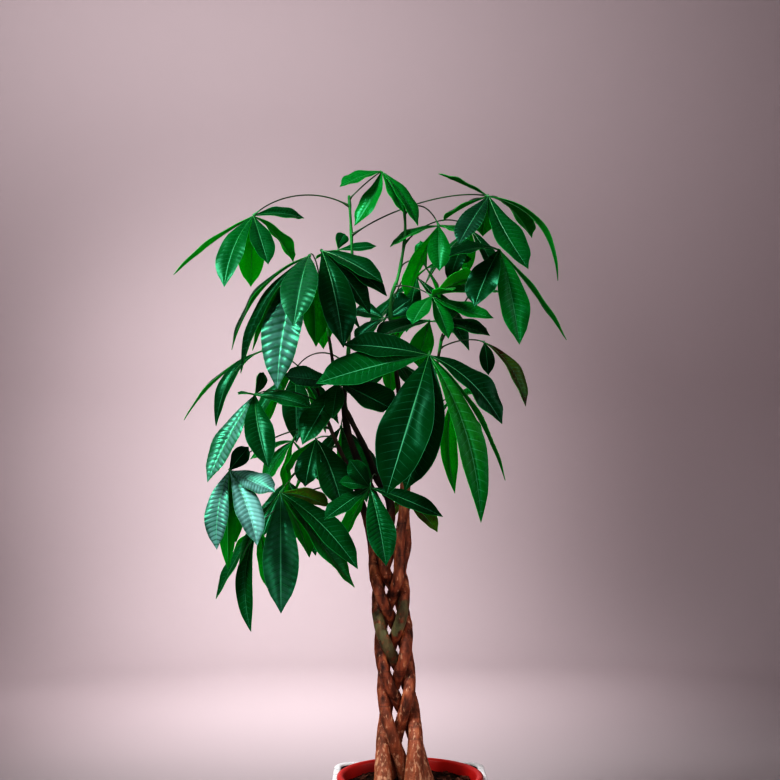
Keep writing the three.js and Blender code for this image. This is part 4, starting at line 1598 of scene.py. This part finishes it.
    def build(self, finishes: list[Material]) -> Piece:
        """Builds the leaf and dresses it.

        Args:
            finishes: the materials, in the order of Skin.

        Returns:
            The leaf.
        """
        draw = random.Random(100 + self.number)
        hub = seen(*self.plan.hub)
        blades, ribs = [], []
        for blade in self.plan.blades:
            skin, rib = self.bend(blade, hub, draw)
            blades.append(skin)
            ribs.append(rib)
        leaf = Bench.join(blades)
        Bench.dress(leaf, *finishes)
        Bench.modify(leaf, "SOLIDIFY", thickness=self.thickness * MM, offset=-1,
                     material_offset=Skin.UNDER, material_offset_rim=Skin.UNDER,
                     use_even_offset=False)
        stalk, rods = self.stalk(hub), Bench.join(ribs)
        for rod in (stalk, rods):
            rod.data.materials.clear()
            Bench.dress(rod, *finishes)
            for face in rod.data.polygons:
                at_hub = (face.center / MM - hub).length < self.hub_glow
                face.material_index = Skin.STALK if rod is stalk and not at_hub else Skin.RIB
        leaf = Bench.join([leaf, stalk, rods])
        Bench.smooth(leaf, 75)
        return leaf


@dataclass(frozen=True)
class Lamp:
    """A soft area light that no camera sees.

    Fields:
        name: its name.
        place: where it stands.
        aim: the point that it faces.
        size: its width and height.
        power: its power in watts.
        spread: how wide its beam is, in degrees.
        colour: its colour.
        glossy: whether a glossy face mirrors it.
    """

    name: str
    place: Place
    aim: Place
    size: Pair
    power: float
    spread: float
    colour: Colour
    glossy: bool = True

    def hang(self) -> None:
        """Adds the light to the scene."""
        data = bpy.data.lights.new(self.name, "AREA")
        data.shape = "RECTANGLE"
        data.size, data.size_y = self.size
        data.energy = self.power
        data.spread = math.radians(self.spread)
        data.color = self.colour
        lamp = bpy.data.objects.new(self.name, data)
        bpy.context.collection.objects.link(lamp)
        lamp.location = self.place
        aim = Vector(self.aim) - Vector(self.place)
        lamp.rotation_euler = aim.to_track_quat("-Z", "Y").to_euler()
        lamp.visible_camera = False
        lamp.visible_glossy = self.glossy


# The window light from the left, a soft fill and the wall's own light
CROWN = (-0.03, 0, 0.66)
WARM = (1.0, 0.97, 0.98)
LAMPS = [
    Lamp("window", (-1.07, -0.87, 1.9), CROWN, (0.45, 0.8), 5.2, 60, (0.95, 1.0, 1.0)),
    Lamp("window_back", (-1.2, 1.3, 1.5), CROWN, (0.9, 1.2), 7, 80, (0.93, 1.0, 0.98), glossy=False),
    Lamp("room", (0.5, -2.0, 0.9), (-0.03, 0, 0.4), (0.8, 1.2), 1.8, 60, (1.0, 0.95, 0.93)),
    Lamp("side", (1.7, -0.2, 1.3), CROWN, (1.0, 1.2), 1.2, 90, (1.0, 0.98, 0.97)),
    Lamp("wall_wash", (-0.5, 0.9, 2.3), (-0.38, 2.35, 1.85), (1.1, 0.6), 19, 135, WARM),
    Lamp("wall_pool", (-0.4, 0.6, 1.9), (-0.26, 1.55, 0), (0.6, 0.6), 6.1, 56, WARM),
    Lamp("wall_glow", (-0.5, 1.0, 1.6), (-0.4, 2.75, 0.45), (0.5, 0.6), 4.0, 60, WARM),
]


@dataclass
class Studio:
    """The round pale room, the soft lights and the camera of the photograph's view.

    Fields:
        floor_radius: the level floor's radius.
        sweep_radius: the radius in which the floor runs up into the wall.
        wall_height: the wall's height.
        sweep_steps, wall_sides: the sweep's faces up it, and the wall's round it.
        paint: the room's colour.
    """

    floor_radius: float = 2000
    sweep_radius: float = 800
    wall_height: float = 3400
    sweep_steps: int = 24
    wall_sides: int = 96
    paint: Colour = (0.44, 0.375, 0.39)

    def stage(self) -> None:
        """Builds the floor and the wall round it as one sheet with a rounded foot."""
        profile = [(self.floor_radius, 0)]
        for step in range(1, self.sweep_steps + 1):
            angle = math.radians(90 * step / self.sweep_steps)
            profile.append((self.floor_radius + self.sweep_radius * math.sin(angle),
                            self.sweep_radius * (1 - math.cos(angle))))
        profile.append((self.floor_radius + self.sweep_radius, self.wall_height))
        room = Bench.lathe("studio_sweep", profile, self.wall_sides)
        Bench.smooth(room, 60)
        Bench.dress(room, StageFinish("studio_paint", self.paint).build())

    @staticmethod
    def lights() -> None:
        """Adds the lamps and the air, and sets how the picture is developed."""
        for lamp in LAMPS:
            lamp.hang()
        world = bpy.data.worlds.new("studio_air")
        world.use_nodes = True
        background = world.node_tree.nodes["Background"]
        background.inputs["Color"].default_value = (0.95, 0.93, 0.95, 1)
        background.inputs["Strength"].default_value = 0.11
        bpy.context.scene.world = world
        bpy.context.scene.view_settings.view_transform = "Standard"
        bpy.context.scene.view_settings.look = "High Contrast"

    @staticmethod
    def camera() -> None:
        """Sets the camera at the photograph's viewpoint."""
        data = bpy.data.cameras.new("photo_view")
        data.sensor_width = SENSOR
        data.lens = PHOTO_FOCAL / PHOTO_SIDE * SENSOR
        camera = bpy.data.objects.new("photo_view", data)
        bpy.context.collection.objects.link(camera)
        camera.location = EYE * MM
        camera.rotation_euler = (math.pi / 2 + EYE_TILT, 0, 0)
        bpy.context.scene.camera = camera


@dataclass
class MoneyTree:
    """The whole plant in its pots."""

    trunks: list[Trunk] = field(default_factory=lambda: [Trunk(plan) for plan in STEMS])

    @staticmethod
    def pots() -> None:
        """Builds and dresses both pots."""
        maker = Pots()
        cover = maker.cover()
        # The second material is painted shade for the pot's inside.
        Bench.dress(cover, GLAZE.build(), PAINTED_SHADE_INSIDE.build())
        maker.shade_inside(cover)
        Bench.finish(cover, "square_cover_pot", "cover_pot", "cover_pot")
        nursery = maker.nursery()
        Bench.dress(nursery, CLAY.build())
        Bench.finish(nursery, "rolled_rim_pot", "nursery_pot", "nursery_pot")

    def ground(self) -> None:
        """Builds and dresses the soil and its bark chips."""
        maker = Ground()
        soil = maker.soil()
        Bench.dress(soil, EARTH.build())
        Bench.finish(soil, "crumbly_soil", "soil", "soil")
        bark = maker.bark([trunk.at(SOIL_TOP) for trunk in self.trunks])
        Bench.dress(bark, CHIPS.build())
        Bench.finish(bark, "loose_bark", "soil")

    def stems(self) -> None:
        """Builds and dresses the five stems."""
        bark = BarkFinish().build()
        for number, trunk in enumerate(self.trunks, 1):
            nodes = [plan.start for plan in LEAVES if plan.stem == number]
            stem = trunk.build(nodes)
            Bench.dress(stem, bark)
            Bench.finish(stem, f"plaited_stem_{number}", "bark", f"stem_{number}")

    def crown(self) -> None:
        """Builds and dresses every leaf."""
        finishes = [finish.build() for finish in (LEAF_UPPER, LEAF_UNDER, STALK, RIB)]
        masters = Leaflets()
        masters.model()
        for number, plan in enumerate(LEAVES, 1):
            frond = Frond(plan, self.trunks[plan.stem - 1], masters, number)
            leaf = frond.build(finishes)
            Bench.finish(leaf, f"frond_{number:02d}", "leaf", f"leaf_{number:02d}")
        for master in (masters.blade, masters.rib):
            bpy.data.objects.remove(master)


def main() -> None:
    """Builds the plant, the studio and the camera."""
    logging.basicConfig(level=logging.INFO, format="%(name)s: %(message)s")
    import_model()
    Bench.clear()
    studio = Studio()
    studio.camera()
    tree = MoneyTree()
    tree.pots()
    tree.ground()
    tree.stems()
    tree.crown()
    studio.stage()
    studio.lights()


if __name__ == "__main__":
    main()
